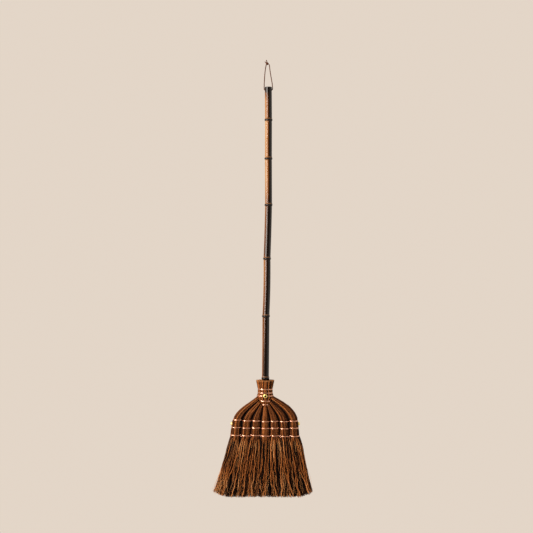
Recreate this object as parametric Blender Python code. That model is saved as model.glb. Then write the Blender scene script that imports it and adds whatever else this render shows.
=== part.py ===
# A palm-fibre broom: seven fibre bundles bound with copper wire round a bamboo handle, with a hanging loop.
# Metres, +Z up, front towards -Y. The origin is the point of the loop that a hook carries, and the broom
# hangs below it. Head pieces are modelled under an empty at the top of the neck, where a "drop" is a depth
# below that point and "across" is a distance along X from the head's axis.
import math
import random

import bpy
import bmesh
from mathutils import Vector

# Overall sizes
BROOM_LENGTH = 1.280  # top of the handle to the bristle tips
LOOP_RISE = 0.0667  # top of the handle to the hook
COLLAR_DROP = 0.9177  # top of the handle to the top of the neck
HEAD_ACROSS = -0.0056  # the head's axis, from the hook's line
FIT_GAP = 0.0003  # between pieces that touch

# Bamboo handle, from its top end
CULM_RADIUS = 0.0110
CULM_SIDES = 16
INTERNODES = (0.102, 0.121, 0.145, 0.168, 0.180, 0.194)
CULM_LINE = (0.0041, 0.0042, 0.0040, 0.0036, -0.0016, -0.0046, -0.0056)  # X at the top and at each joint
CULM_END_EASE = 0.0007  # rounding of the top rim
JOINT_SWELL = 0.0013
JOINT_WAIST = 0.0002  # how much thinner the culm is just below a joint
JOINT_REACH = 0.0050
TENON_LEAD = 0.0020  # the pared end starts this far above the neck
TENON_RADIUS = 0.0106
TENON_POINT_RADIUS = 0.0045
TENON_TAPER_DROP = 0.0500
TENON_END_DROP = 0.0740
CORD_HOLE_DROP = 0.0109
CORD_HOLE_RADIUS = 0.0029
CORD_HOLE_EASE = 0.0016  # extra radius at the hole's worn mouths
CORD_HOLE_EASE_DEPTH = 0.0025

# Hanging cord
CORD_RADIUS = 0.00135
CORD_SPACING = 0.0040
LEG_OFFSET = 0.0130  # legs from the handle's axis
LEG_BEND = 0.0054
KNOT_CENTRE = (0.0003, 0.0, 0.0066)
KNOT_RADII = (0.0042, 0.0036, 0.0034)
KNOT_TAILS = ((-0.0069, 0.0006, 0.0122), (-0.0022, -0.0006, 0.0175))

# Neck: (drop, half width, half depth) of the gathered fibre ends
NECK_OUTLINE = (
    (0.0000, 0.0272, 0.0240),
    (0.0120, 0.0246, 0.0212),
    (0.0272, 0.0218, 0.0190),
    (0.0385, 0.0221, 0.0188),
    (0.0479, 0.0244, 0.0188),
    (0.0560, 0.0226, 0.0178),
    (0.0642, 0.0184, 0.0164),
    (0.0754, 0.0122, 0.0138),
    (0.0820, 0.0085, 0.0118),
)
NECK_FLUTES = 14
NECK_FLUTE_SHARE = 0.018

# Fibre bundles, by their place out from the middle one
BUNDLE_PAIRS = 3
ROOT_ACROSS = (0.0, 0.0102, 0.0157, 0.0205)
ROOT_DROP = (0.0760, 0.0752, 0.0662, 0.0545)
ROOT_DIP = (90, 67, 49, 31)  # degrees below level
ROOT_HALF_WIDTH = (0.0080, 0.0038, 0.0042, 0.0058)
ROOT_HALF_DEPTH = 0.0115
SHOULDER_DROP = 0.1330
SHOULDER_PITCH = 0.0280
SHOULDER_PITCH_GROWTH = 0.0006
SHOULDER_HALF_WIDTH = 0.0100
SHOULDER_WIDTH_GROWTH = 0.0010
SHOULDER_HALF_DEPTH = 0.0145
SKIRT_DROP = 0.1785  # where the bundles open out into bristles
SKIRT_PITCH = 0.0308
SKIRT_HALF_WIDTH = 0.0141
SKIRT_HALF_DEPTH = 0.0150
CORNER_DRAW = 0.20  # how far a bundle's section is drawn in at its corners
BUNDLE_CELLS = 5  # divisions on each side of a section

# Bristles
BACKING_THICKNESS = 0.0070
TIP_PITCH = 0.0436
TIP_HALF_WIDTH = 0.0216
TIP_HALF_DEPTH = 0.0230
TIP_SHIFT = -0.0053
TIP_CORNER_LIFT = 0.0200
TIP_CORNER_START = 0.118
TIP_JITTER = 0.0012
TIP_LENGTH_JITTER = 0.0030
STRAND_ROOT_SHARE = 0.60
STRAND_TIP_SHARE = 0.30

# Copper wire
WIRE_RADIUS = 0.0006
WIRE_PITCH = 0.00175  # one turn to the next
NECK_WIRE_DROPS = (0.0272, 0.0385, 0.0479, 0.0642, 0.0754)
NECK_WIRE_TURNS = (2, 2, 2, 1, 1)
WIRE_STEPS = 24  # points in a turn
WIRE_LIFT = 0.0006  # a wire's clearance off the fibres that it crosses
STITCH_RISES = (0.0515, 0.0285, 0.0047)  # of the stitches above the bundles' lower ends
STITCH_PART = 0.0019  # between the outward and the returning wire
STITCH_CORNER_SHARE = 0.80  # of a bundle's half width, where the wire turns back between two bundles
STITCH_CORNER_DRAW = 0.13  # how much nearer the wire lies there than at the bundle's middle

# Pin through the neck and its brass washers
PIN_DROP = 0.0479
PIN_RADIUS = 0.0021
WASHER_RADIUS = 0.0063
WASHER_HEIGHT = 0.0026
WASHER_EDGE = 0.0006
PIN_SHY = 0.0005  # pin's end below the washer's crown

# Skewer across the bundles and its brass caps
SKEWER_DROP = 0.1361
SKEWER_RADIUS = 0.0020
CAP_RADIUS = 0.0056
CAP_HEIGHT = 0.0048
CAP_SOCKET = 0.0030

HANDLE_TOP = -LOOP_RISE
HINGE_HEIGHT = HANDLE_TOP - CORD_HOLE_DROP
HEAD_TOP = HANDLE_TOP - COLLAR_DROP
TIP_DROP = BROOM_LENGTH - COLLAR_DROP
SOURCE = random.Random(7)


def clear_scene():
    for old in list(bpy.data.objects):
        bpy.data.objects.remove(old, do_unlink=True)


def material(name, colour, roughness, metallic=0.0):
    made = bpy.data.materials.new(name)
    made.use_nodes = True
    shader = made.node_tree.nodes["Principled BSDF"]
    shader.inputs["Base Color"].default_value = (*colour, 1.0)
    shader.inputs["Roughness"].default_value = roughness
    shader.inputs["Metallic"].default_value = metallic
    return made


def empty(name, location, parent=None):
    made = bpy.data.objects.new(name, None)
    made.location = location
    made.parent = parent
    bpy.context.scene.collection.objects.link(made)
    return made


def add_object(name, data, parent, finish=None):
    made = bpy.data.objects.new(name, data)
    made.parent = parent
    bpy.context.scene.collection.objects.link(made)
    if finish:
        data.materials.append(finish)
    return made


def add_mesh(name, bm, parent, finish=None):
    """Turns a bmesh into an object, with smooth round sides and sharp rims."""
    bmesh.ops.recalc_face_normals(bm, faces=bm.faces)
    mesh = bpy.data.meshes.new(name)
    bm.to_mesh(mesh)
    bm.free()
    mesh.shade_smooth()
    mesh.set_sharp_from_angle(angle=math.radians(38))
    return add_object(name, mesh, parent, finish)


def skin(rings, sleeve=False):
    """A closed bmesh over rings of equal length: capped at both ends, or joined last to first as a sleeve."""
    bm = bmesh.new()
    rows = [[bm.verts.new(point) for point in ring] for ring in rings]
    pairs = list(zip(rows, rows[1:]))
    if sleeve:
        pairs.append((rows[-1], rows[0]))
    for upper, lower in pairs:
        for i, corner in enumerate(upper):
            after = (i + 1) % len(upper)
            bm.faces.new((corner, upper[after], lower[after], lower[i]))
    if not sleeve:
        bm.faces.new(rows[0])
        bm.faces.new(list(reversed(rows[-1])))
    return bm


def turned(profile, sides, axis):
    """A closed bmesh of a (radius, height) profile turned about an axis; radius 0 closes an end."""
    turn = axis.to_track_quat("Z", "Y")
    bm = bmesh.new()
    line = [bm.verts.new(turn @ Vector((radius, 0.0, height))) for radius, height in profile]
    edges = [bm.edges.new(pair) for pair in zip(line, line[1:])]
    bmesh.ops.spin(
        bm, geom=line + edges, axis=axis, cent=(0, 0, 0), steps=sides, angle=2 * math.pi, use_merge=True
    )
    bmesh.ops.remove_doubles(bm, verts=bm.verts, dist=1e-6)
    return bm


def tube(name, points, radius, parent, finish, rounding):
    """A round tube along points, as a curve with a bevel and filled ends."""
    curve = bpy.data.curves.new(name, "CURVE")
    curve.dimensions = "3D"
    curve.bevel_depth = radius
    curve.bevel_resolution = rounding
    curve.use_fill_caps = True
    spline = curve.splines.new("POLY")
    spline.points.add(len(points) - 1)
    for spot, point in zip(spline.points, points):
        spot.co = (*point, 1.0)
    return add_object(name, curve, parent, finish)


def as_cutter(piece):
    piece.hide_render = True
    piece.display_type = "WIRE"
    return piece


def boolean(piece, other, operation="DIFFERENCE"):
    change = piece.modifiers.new(other.name, "BOOLEAN")
    change.operation = operation
    change.object = other
    change.solver = "EXACT"


def between(table, at):
    """Values of a table's row at a place, straight between its rows."""
    for low, high in zip(table, table[1:]):
        if at <= high[0]:
            share = max(0.0, (at - low[0]) / (high[0] - low[0]))
            return [a + share * (b - a) for a, b in zip(low[1:], high[1:])]
    return list(table[-1][1:])


def smooth_line(route, spacing):
    """Points about a spacing apart on a smooth curve through a route."""
    marks = [Vector(point) for point in route]
    ends = [2 * marks[0] - marks[1], *marks, 2 * marks[-1] - marks[-2]]
    fine = []
    for before, start, finish, after in zip(ends, ends[1:], ends[2:], ends[3:]):
        for step in range(16):
            t = step / 16
            pull = (finish - before) * t + (2 * before - 5 * start + 4 * finish - after) * t * t
            fine.append(start + 0.5 * (pull + (3 * start - before - 3 * finish + after) * t**3))
    fine.append(marks[-1])
    length = sum((b - a).length for a, b in zip(fine, fine[1:]))
    step = length / round(length / spacing)
    points, walked, due = [fine[0]], 0.0, step
    for a, b in zip(fine, fine[1:]):
        stretch = (b - a).length
        while walked + stretch >= due - 1e-9 and len(points) < round(length / step):
            points.append(a.lerp(b, (due - walked) / stretch))
            due += step
        walked += stretch
    return [*points, fine[-1]]


def least_gap(points, radius):
    """The least clear distance between two turns of one tube, measured between points along it."""
    fine = []
    for a, b in zip(points, points[1:]):
        count = 2 * math.ceil((b - a).length / (2 * radius))
        fine += [a.lerp(b, step / count) for step in range(count)]
    apart = 12
    nearest = min((here - there).length for i, here in enumerate(fine) for there in fine[i + apart :])
    return nearest - 2 * radius


# Handle


def culm_across(below):
    """X of the culm's middle at a distance below its top."""
    places, walked = [(0.0, CULM_LINE[0])], 0.0
    for length, across in zip(INTERNODES, CULM_LINE[1:]):
        walked += length
        places.append((walked, across))
    places.append((COLLAR_DROP + TENON_END_DROP, HEAD_ACROSS))
    return between(places, below)[0]


def culm_stations():
    """(distance below the top, radius) down the culm: swollen rings at the joints, then the tapered tenon."""
    stations = [(0.0, CULM_RADIUS - CULM_END_EASE), (CULM_END_EASE, CULM_RADIUS)]
    walked = 0.0
    for length in INTERNODES:
        walked += length
        stations += [
            (walked - JOINT_REACH, CULM_RADIUS),
            (walked - 0.3 * JOINT_REACH, CULM_RADIUS + 0.35 * JOINT_SWELL),
            (walked, CULM_RADIUS + JOINT_SWELL),
            (walked + 0.3 * JOINT_REACH, CULM_RADIUS + 0.15 * JOINT_SWELL),
        ]
        if walked + JOINT_REACH < COLLAR_DROP:
            stations.append((walked + JOINT_REACH, CULM_RADIUS - JOINT_WAIST))
    return stations + [
        (COLLAR_DROP - TENON_LEAD, TENON_RADIUS),
        (COLLAR_DROP + TENON_TAPER_DROP, TENON_RADIUS),
        (COLLAR_DROP + TENON_END_DROP, TENON_POINT_RADIUS),
    ]


def make_handle(pivot, finish):
    def ring(below, radius):
        across = culm_across(below)
        angles = [2 * math.pi * i / CULM_SIDES for i in range(CULM_SIDES)]
        return [(across + radius * math.cos(angle), radius * math.sin(angle), -below) for angle in angles]

    handle = add_mesh("handle", skin([ring(*station) for station in culm_stations()]), pivot, finish)
    handle.location = (-culm_across(CORD_HOLE_DROP), 0.0, CORD_HOLE_DROP)
    reach = CULM_RADIUS + JOINT_SWELL
    mouth, straight = CORD_HOLE_RADIUS + CORD_HOLE_EASE, CULM_RADIUS - CORD_HOLE_EASE_DEPTH
    half = ((CORD_HOLE_RADIUS, straight), (mouth, reach), (0, reach))
    profile = [(radius, -height) for radius, height in reversed(half)] + list(half)
    bore = turned(profile, 16, Vector((1, 0, 0)))
    boolean(handle, as_cutter(add_mesh("cord_hole", bore, pivot)))
    return handle


# Neck and bundles


def neck_ring(drop, half_width, half_depth, swell=0.0):
    points = []
    for i in range(2 * NECK_FLUTES):
        angle = math.pi * (i + 0.5) / NECK_FLUTES
        flute = 1 + NECK_FLUTE_SHARE * (1 if i % 2 else -1)
        points.append(
            (
                (half_width * flute + swell) * math.cos(angle),
                (half_depth * flute + swell) * math.sin(angle),
                -drop,
            )
        )
    return points


def bore_ring(drop, radius):
    angles = [math.pi * (i + 0.5) / NECK_FLUTES for i in range(2 * NECK_FLUTES)]
    return [(radius * math.cos(angle), radius * math.sin(angle), -drop) for angle in angles]


def make_neck(head, finish):
    """The gathered and trimmed fibre ends: a fluted sleeve, closed below the handle's point."""
    outside = [neck_ring(*row) for row in NECK_OUTLINE]
    bore = [
        bore_ring(TENON_END_DROP + FIT_GAP, TENON_POINT_RADIUS + FIT_GAP),
        bore_ring(TENON_TAPER_DROP, TENON_RADIUS + FIT_GAP),
        bore_ring(0.0, TENON_RADIUS + FIT_GAP),
    ]
    bm = bmesh.new()
    rows = [[bm.verts.new(point) for point in ring] for ring in outside]
    inner = [[bm.verts.new(point) for point in ring] for ring in bore]
    for upper, lower in [*zip(rows, rows[1:]), *zip(inner, inner[1:]), (inner[-1], rows[0])]:
        for i, corner in enumerate(upper):
            after = (i + 1) % len(upper)
            bm.faces.new((corner, upper[after], lower[after], lower[i]))
    bm.faces.new(rows[-1])
    bm.faces.new(inner[0])
    return add_mesh("neck_collar", bm, head, finish)


def section_point(u, v):
    """A point of a bundle's section: a square from -1 to 1, drawn in at its corners."""
    return u * (1 - CORNER_DRAW * v * v), v * (1 - CORNER_DRAW * u * u)


def section_edge():
    """The section's outline, once round, with the same divisions on each side."""
    steps = [2 * i / BUNDLE_CELLS - 1 for i in range(BUNDLE_CELLS)]
    sides = [(s, -1) for s in steps] + [(1, s) for s in steps]
    sides += [(-s, 1) for s in steps] + [(-1, -s) for s in steps]
    return [section_point(u, v) for u, v in sides]


def shoulder_across(place):
    return place * (SHOULDER_PITCH + SHOULDER_PITCH_GROWTH * abs(place))


def shoulder_half_width(place):
    return SHOULDER_HALF_WIDTH + SHOULDER_WIDTH_GROWTH * abs(place)


def bundle_root(place):
    """The bundle's start inside the neck, and the way that it sets off."""
    out = abs(place)
    side = math.copysign(1, place)
    dip = math.radians(ROOT_DIP[out])
    start = Vector((side * ROOT_ACROSS[out], 0.0, -ROOT_DROP[out]))
    return start, Vector((side * math.cos(dip) if place else 0.0, 0.0, -math.sin(dip)))


def skirt_line(place, drop):
    """(across, half width, half depth) of a bundle from its shoulder down to where it opens."""
    share = (drop - SHOULDER_DROP) / (SKIRT_DROP - SHOULDER_DROP)
    high = (shoulder_across(place), shoulder_half_width(place), SHOULDER_HALF_DEPTH)
    low = (place * SKIRT_PITCH, SKIRT_HALF_WIDTH, SKIRT_HALF_DEPTH)
    return [a + share * (b - a) for a, b in zip(high, low)]


def shoulder_stations(place, count=7):
    """(middle, way across, half width, half depth) along the curve from the neck to the shoulder."""
    start, heading = bundle_root(place)
    end = Vector((shoulder_across(place), 0.0, -SHOULDER_DROP))
    span = (end - start).length
    pull = start + heading * 0.42 * span
    settle = end + Vector((0.0, 0.0, 0.32 * span))
    out = abs(place)
    stations = []
    for i in range(count):
        t = i / (count - 1)
        s = 1 - t
        middle = s**3 * start + 3 * s * s * t * pull + 3 * s * t * t * settle + t**3 * end
        along = s * s * (pull - start) + 2 * s * t * (settle - pull) + t * t * (end - settle)
        across = Vector((-along.z, 0.0, along.x)).normalized()
        half_width = ROOT_HALF_WIDTH[out] + (shoulder_half_width(place) - ROOT_HALF_WIDTH[out]) * t**0.9
        half_depth = ROOT_HALF_DEPTH + (SHOULDER_HALF_DEPTH - ROOT_HALF_DEPTH) * t
        stations.append((middle, across, half_width, half_depth))
    return stations


def make_bundle(place, head, finish):
    stations = shoulder_stations(place)
    for drop in (0.5 * (SHOULDER_DROP + SKIRT_DROP), SKIRT_DROP - 0.5 * FIT_GAP):
        across, half_width, half_depth = skirt_line(place, drop)
        stations.append((Vector((across, 0.0, -drop)), Vector((1, 0, 0)), half_width, half_depth))
    edge = section_edge()
    rings = [
        [middle + across * half_width * u + Vector((0, half_depth * v, 0)) for u, v in edge]
        for middle, across, half_width, half_depth in stations
    ]
    return add_mesh(f"bundle_{place + BUNDLE_PAIRS + 1}", skin(rings), head, finish)


def neck_block(head):
    """The neck's outside with its clearance, which the bundles' roots are cut to."""
    rings = [neck_ring(*row, swell=FIT_GAP) for row in NECK_OUTLINE]
    rings[-1] = [(x, y, z - FIT_GAP) for x, y, z in rings[-1]]
    return as_cutter(add_mesh("neck_block", skin(rings), head))


def wire_groove(row, head):
    """The channel between the bundles' roots that a neck wire lies in."""
    drop = NECK_WIRE_DROPS[row]
    half_width, half_depth = between(NECK_OUTLINE, drop)
    out = 2 * WIRE_RADIUS + WIRE_LIFT + 2 * FIT_GAP
    half_height = 0.5 * WIRE_PITCH * NECK_WIRE_TURNS[row] + WIRE_RADIUS + FIT_GAP
    levels = ((-half_height, out), (half_height, out), (half_height, -out), (-half_height, -out))
    rings = [neck_ring(drop + level, half_width, half_depth, swell) for level, swell in levels]
    return as_cutter(add_mesh(f"wire_groove_{row + 1}", skin(rings, sleeve=True), head))


# Bristles


def tip_point(place, u, v):
    """Where a bristle from the bundle's section point ends; the skirt's two corners are rounded up."""
    across = TIP_SHIFT + place * TIP_PITCH + TIP_HALF_WIDTH * u
    past = max(0.0, abs(across - TIP_SHIFT) - TIP_CORNER_START)
    reach = BUNDLE_PAIRS * TIP_PITCH + TIP_HALF_WIDTH - TIP_CORNER_START
    lift = TIP_CORNER_LIFT * (past / reach) ** 2
    return Vector((across, TIP_HALF_DEPTH * v, lift - TIP_DROP))


def make_bristles(place, head, finish):
    """A slice of the bundle with one three-sided bristle out of each half cell of its underside."""
    top_drop, bottom_drop = SKIRT_DROP + 0.5 * FIT_GAP, SKIRT_DROP + BACKING_THICKNESS
    bm = bmesh.new()

    def level(drop, u, v):
        across, half_width, half_depth = skirt_line(place, drop)
        x, y = section_point(u, v)
        return Vector((across + half_width * x, half_depth * y, -drop))

    marks = [2 * i / BUNDLE_CELLS - 1 for i in range(BUNDLE_CELLS + 1)]
    grid = {}
    for i, u in enumerate(marks):
        for j, v in enumerate(marks):
            grid[i, j] = bm.verts.new(level(bottom_drop, u, v))
    last = BUNDLE_CELLS
    round_path = [(i, 0) for i in range(last)] + [(last, j) for j in range(last)]
    round_path += [(last - i, last) for i in range(last)] + [(0, last - j) for j in range(last)]
    top = [bm.verts.new(level(top_drop, marks[i], marks[j])) for i, j in round_path]
    for n, corner in enumerate(round_path):
        after = (n + 1) % len(round_path)
        bm.faces.new((top[n], top[after], grid[round_path[after]], grid[corner]))
    bm.faces.new(top)

    for i in range(last):
        for j in range(last):
            low_left, low_right = (i, j), (i + 1, j)
            high_left, high_right = (i, j + 1), (i + 1, j + 1)
            if (i < last / 2) == (j < last / 2):
                halves = ((low_left, low_right, high_left), (low_right, high_right, high_left))
            else:
                halves = ((low_left, low_right, high_right), (low_left, high_right, high_left))
            for half in halves:
                add_bristle(bm, place, marks, grid, half)
    return add_mesh(f"bristles_{place + BUNDLE_PAIRS + 1}", bm, head, finish)


def add_bristle(bm, place, marks, grid, half):
    corners = [grid[spot] for spot in half]
    if sum(spot in ((0, 0), (0, BUNDLE_CELLS), (BUNDLE_CELLS, 0), (BUNDLE_CELLS,) * 2) for spot in half):
        bm.faces.new(corners)
        return
    centre = sum((corner.co for corner in corners), Vector()) / 3
    root = [bm.verts.new(centre.lerp(corner.co, STRAND_ROOT_SHARE)) for corner in corners]
    u = sum(marks[i] for i, _ in half) / 3
    v = sum(marks[j] for _, j in half) / 3
    end = tip_point(place, *section_point(u, v))
    end += Vector((SOURCE.uniform(-TIP_JITTER, TIP_JITTER), SOURCE.uniform(-TIP_JITTER, TIP_JITTER), 0))
    end.z += SOURCE.uniform(0, TIP_LENGTH_JITTER)
    tip = [bm.verts.new(end + (corner.co - centre) * STRAND_TIP_SHARE) for corner in corners]
    for n in range(3):
        after = (n + 1) % 3
        bm.faces.new((corners[n], corners[after], root[after], root[n]))
        bm.faces.new((root[n], root[after], tip[after], tip[n]))
    bm.faces.new(tip)


# Copper wire


def make_neck_wire(row, head, finish):
    """Turns of wire round the neck, wound downwards. Those at the pin part round it, front and back."""
    drop, turns = NECK_WIRE_DROPS[row], NECK_WIRE_TURNS[row]
    half_width, half_depth = between(NECK_OUTLINE, drop)
    off = WIRE_RADIUS + WIRE_LIFT
    reach_x = half_width * (1 + NECK_FLUTE_SHARE) + off
    reach_y = half_depth * (1 + NECK_FLUTE_SHARE) + off
    passing = PIN_RADIUS + WIRE_RADIUS + FIT_GAP
    points = []
    for step in range(turns * WIRE_STEPS + 1):
        share = step / WIRE_STEPS
        angle = 0.75 * math.pi + 2 * math.pi * share
        fall = WIRE_PITCH * (share - 0.5 * turns)
        x = reach_x * math.cos(angle)
        if abs(drop - PIN_DROP) < passing:
            near = math.exp(-((x / (2.6 * PIN_RADIUS)) ** 2))
            fall = math.copysign(abs(fall) + near * max(0.0, passing - abs(fall)), share - 0.5 * turns)
        points.append(Vector((x, reach_y * math.sin(angle), -drop - fall)))
    name = f"neck_wire_{row + 1}"
    if turns > 1:
        print(f"{name}: least gap {1000 * least_gap(points, WIRE_RADIUS):.2f} mm")
    return tube(name, points, WIRE_RADIUS, head, finish, 1)


def stitch_pass(drop, places, front, level):
    """One pass of wire along the bundles, in front of one and behind the next."""
    off = WIRE_RADIUS + WIRE_LIFT
    way = 1 if places[-1] > places[0] else -1
    points = []
    for n, place in enumerate(places):
        across, half_width, half_depth = skirt_line(place, drop)
        side = front * (-1 if n % 2 == 0 else 1)
        for share in (-1, 0, 1):
            x = across + way * share * (STITCH_CORNER_SHARE * half_width + 1.1 * off)
            points.append((x, side * (half_depth * (1 - STITCH_CORNER_DRAW * abs(share)) + off)))
    return [Vector((x, y, -drop + level)) for x, y in points]


def make_stitch_wire(row, head, finish):
    """One wire woven out through the seven bundles and back on their other sides, crossing in every gap."""
    drop = SKIRT_DROP - STITCH_RISES[row]
    places = list(range(-BUNDLE_PAIRS, BUNDLE_PAIRS + 1))
    off = WIRE_RADIUS + WIRE_LIFT
    rise = 0.5 * STITCH_PART
    ends = []
    for place in (places[0], places[-1]):
        across, half_width, half_depth = skirt_line(place, drop)
        ends.append((across + math.copysign(half_width + off, place), half_depth))
    (left, depth), (right, _) = ends
    points = [Vector((left, -0.2 * depth, -drop + rise))]
    points += stitch_pass(drop, places, 1, rise)
    points.append(Vector((right, 0.0, -drop)))
    points += stitch_pass(drop, places[::-1], -1, -rise)
    points.append(Vector((left, 0.2 * depth, -drop - rise)))
    name = f"stitch_wire_{row + 1}"
    print(f"{name}: least gap {1000 * least_gap(points, WIRE_RADIUS):.2f} mm")
    return tube(name, points, WIRE_RADIUS, head, finish, 1)


# Pin, skewer and brass


def make_pin(head, finish, brass, handle, neck):
    """A pin through the neck and the handle, under a domed brass washer front and back."""
    _, half_depth = between(NECK_OUTLINE, PIN_DROP)
    seat = half_depth * (1 + NECK_FLUTE_SHARE) + WIRE_LIFT + 2 * WIRE_RADIUS + FIT_GAP
    reach = seat + WASHER_HEIGHT - PIN_SHY
    along = Vector((0, -1, 0))
    bore = turned(
        ((0, -reach), (PIN_RADIUS + FIT_GAP, -reach), (PIN_RADIUS + FIT_GAP, reach), (0, reach)), 16, along
    )
    cutter = as_cutter(add_mesh("pin_hole", bore, head))
    cutter.location = (0.0, 0.0, -PIN_DROP)
    boolean(handle, cutter)
    boolean(neck, cutter)
    pin = add_mesh(
        "neck_pin",
        turned(((0, -reach), (PIN_RADIUS, -reach), (PIN_RADIUS, reach), (0, reach)), 16, along),
        head,
        finish,
    )
    pin.location = (0.0, 0.0, -PIN_DROP)
    hole = PIN_RADIUS + FIT_GAP
    crown = 0.5 * (hole + WASHER_RADIUS)
    profile = (
        (hole, 0.0),
        (WASHER_RADIUS, 0.0),
        (WASHER_RADIUS, WASHER_EDGE),
        (0.86 * WASHER_RADIUS, 0.66 * WASHER_HEIGHT),
        (crown, 0.96 * WASHER_HEIGHT),
        (hole, WASHER_HEIGHT),
        (hole, 0.0),
    )
    for name, way in (("pin_washer_front", -1), ("pin_washer_back", 1)):
        washer = add_mesh(name, turned(profile, 20, Vector((0, way, 0))), head, brass)
        washer.location = (0.0, way * seat, -PIN_DROP)


def make_skewer(head, finish, brass, bundles):
    """A skewer across all the bundles, with a domed brass cap on each end."""
    across, half_width, _ = skirt_line(BUNDLE_PAIRS, SKEWER_DROP + CAP_RADIUS)
    seat = across + half_width + FIT_GAP
    reach = seat + CAP_SOCKET - FIT_GAP
    along = Vector((1, 0, 0))
    bore_radius = SKEWER_RADIUS + FIT_GAP
    bore = turned(((0, -reach), (bore_radius, -reach), (bore_radius, reach), (0, reach)), 12, along)
    cutter = as_cutter(add_mesh("skewer_hole", bore, head))
    cutter.location = (0.0, 0.0, -SKEWER_DROP)
    for bundle in bundles:
        boolean(bundle, cutter)
    skewer = add_mesh(
        "skewer",
        turned(((0, -reach), (SKEWER_RADIUS, -reach), (SKEWER_RADIUS, reach), (0, reach)), 12, along),
        head,
        finish,
    )
    skewer.location = (0.0, 0.0, -SKEWER_DROP)
    profile = [(bore_radius, 0.0), (CAP_RADIUS, 0.0), (CAP_RADIUS, 0.15 * CAP_HEIGHT)]
    for i in range(1, 4):
        angle = math.pi / 2 * i / 4
        profile.append((CAP_RADIUS * math.cos(angle), CAP_HEIGHT * (0.15 + 0.85 * math.sin(angle))))
    profile += [(0.0, CAP_HEIGHT), (0.0, CAP_SOCKET), (bore_radius, CAP_SOCKET), (bore_radius, 0.0)]
    for name, way in (("skewer_cap_left", -1), ("skewer_cap_right", 1)):
        cap = add_mesh(name, turned(profile, 16, Vector((way, 0, 0))), head, brass)
        cap.location = (way * seat, 0.0, -SKEWER_DROP)


# Hanging cord


def leg_route(side):
    """A leg of the loop: out of the cross hole, up past the handle's end and in to the knot."""
    middle = culm_across(CORD_HOLE_DROP)
    start = LEG_OFFSET - LEG_BEND
    route = [(middle + side * out, 0.0, HINGE_HEIGHT) for out in (0.5 * FIT_GAP, 0.6 * start)]
    for degrees in (0, 30, 60, 90):
        turn = math.radians(degrees)
        out = start + LEG_BEND * math.sin(turn)
        route.append((middle + side * out, 0.0, HINGE_HEIGHT + LEG_BEND * (1 - math.cos(turn))))
    if side < 0:
        route += [(-0.0088, 0, -0.0600), (-0.0080, 0, -0.0430), (-0.0070, 0, -0.0290), (-0.0059, 0, -0.0180)]
        route += [(-0.0046, 0, -0.0080), (-0.0032, 0, -0.0005), (-0.00235, 0, 0.0024)]
    else:
        route += [(0.0166, 0, -0.0600), (0.0145, 0, -0.0460), (0.0122, 0, -0.0330), (0.0104, 0, -0.0220)]
        route += [(0.0090, 0, -0.0120), (0.0081, 0, -0.0040), (0.0072, 0, 0.0020), (0.00475, 0, 0.0049)]
    return route


def make_loop(hook, finish):
    for name, side in (("hanging_cord_left", -1), ("hanging_cord_right", 1)):
        tube(name, smooth_line(leg_route(side), CORD_SPACING), CORD_RADIUS, hook, finish, 2)
    bm = bmesh.new()
    bmesh.ops.create_uvsphere(bm, u_segments=12, v_segments=8, radius=1.0)
    bmesh.ops.scale(bm, vec=KNOT_RADII, verts=bm.verts)
    knot = add_mesh("cord_knot", bm, hook, finish)
    knot.location = KNOT_CENTRE
    for n, end in enumerate(KNOT_TAILS):
        way = Vector(end) - Vector(KNOT_CENTRE)
        length = way.length
        frayed = 1.15 * CORD_RADIUS
        profile = ((0, 0), (CORD_RADIUS, 0), (CORD_RADIUS, 0.7 * length), (frayed, length), (0, length))
        tail = as_cutter(add_mesh(f"knot_tail_{n + 1}", turned(profile, 8, way.normalized()), hook))
        tail.location = KNOT_CENTRE
        boolean(knot, tail, "UNION")


def main():
    clear_scene()
    bamboo = material("bamboo", (0.045, 0.028, 0.018), 0.30)
    fibre = material("palm_fibre", (0.20, 0.075, 0.028), 0.80)
    bristle = material("palm_bristle", (0.24, 0.095, 0.035), 0.80)
    copper = material("copper", (0.86, 0.44, 0.30), 0.30, 1.0)
    brass = material("brass", (0.85, 0.62, 0.22), 0.22, 1.0)
    dark_wood = material("dark_bamboo", (0.020, 0.013, 0.010), 0.45)
    pale_wood = material("split_bamboo", (0.55, 0.40, 0.22), 0.55)
    cord = material("cord", (0.22, 0.085, 0.045), 0.75)

    hook = empty("hook_point", (0, 0, 0))
    hinge_across = culm_across(CORD_HOLE_DROP)
    pivot = empty("loop_pivot", (hinge_across, 0, HINGE_HEIGHT), hook)
    head = empty("head_axis", (HEAD_ACROSS - hinge_across, 0, HEAD_TOP - HINGE_HEIGHT), pivot)

    handle = make_handle(pivot, bamboo)
    neck = make_neck(head, fibre)
    places = range(-BUNDLE_PAIRS, BUNDLE_PAIRS + 1)
    bundles = [make_bundle(place, head, fibre) for place in places]
    cutters = [neck_block(head)]
    cutters += [wire_groove(row, head) for row, turns in enumerate(NECK_WIRE_TURNS) if turns == 1]
    for bundle in bundles:
        for cutter in cutters:
            boolean(bundle, cutter)
    for place in places:
        make_bristles(place, head, bristle)
    for row in range(len(NECK_WIRE_DROPS)):
        make_neck_wire(row, head, copper)
    for row in range(len(STITCH_RISES)):
        make_stitch_wire(row, head, copper)
    make_pin(head, dark_wood, brass, handle, neck)
    make_skewer(head, pale_wood, brass, bundles)
    make_loop(hook, cord)


main()
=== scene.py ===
import math

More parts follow.
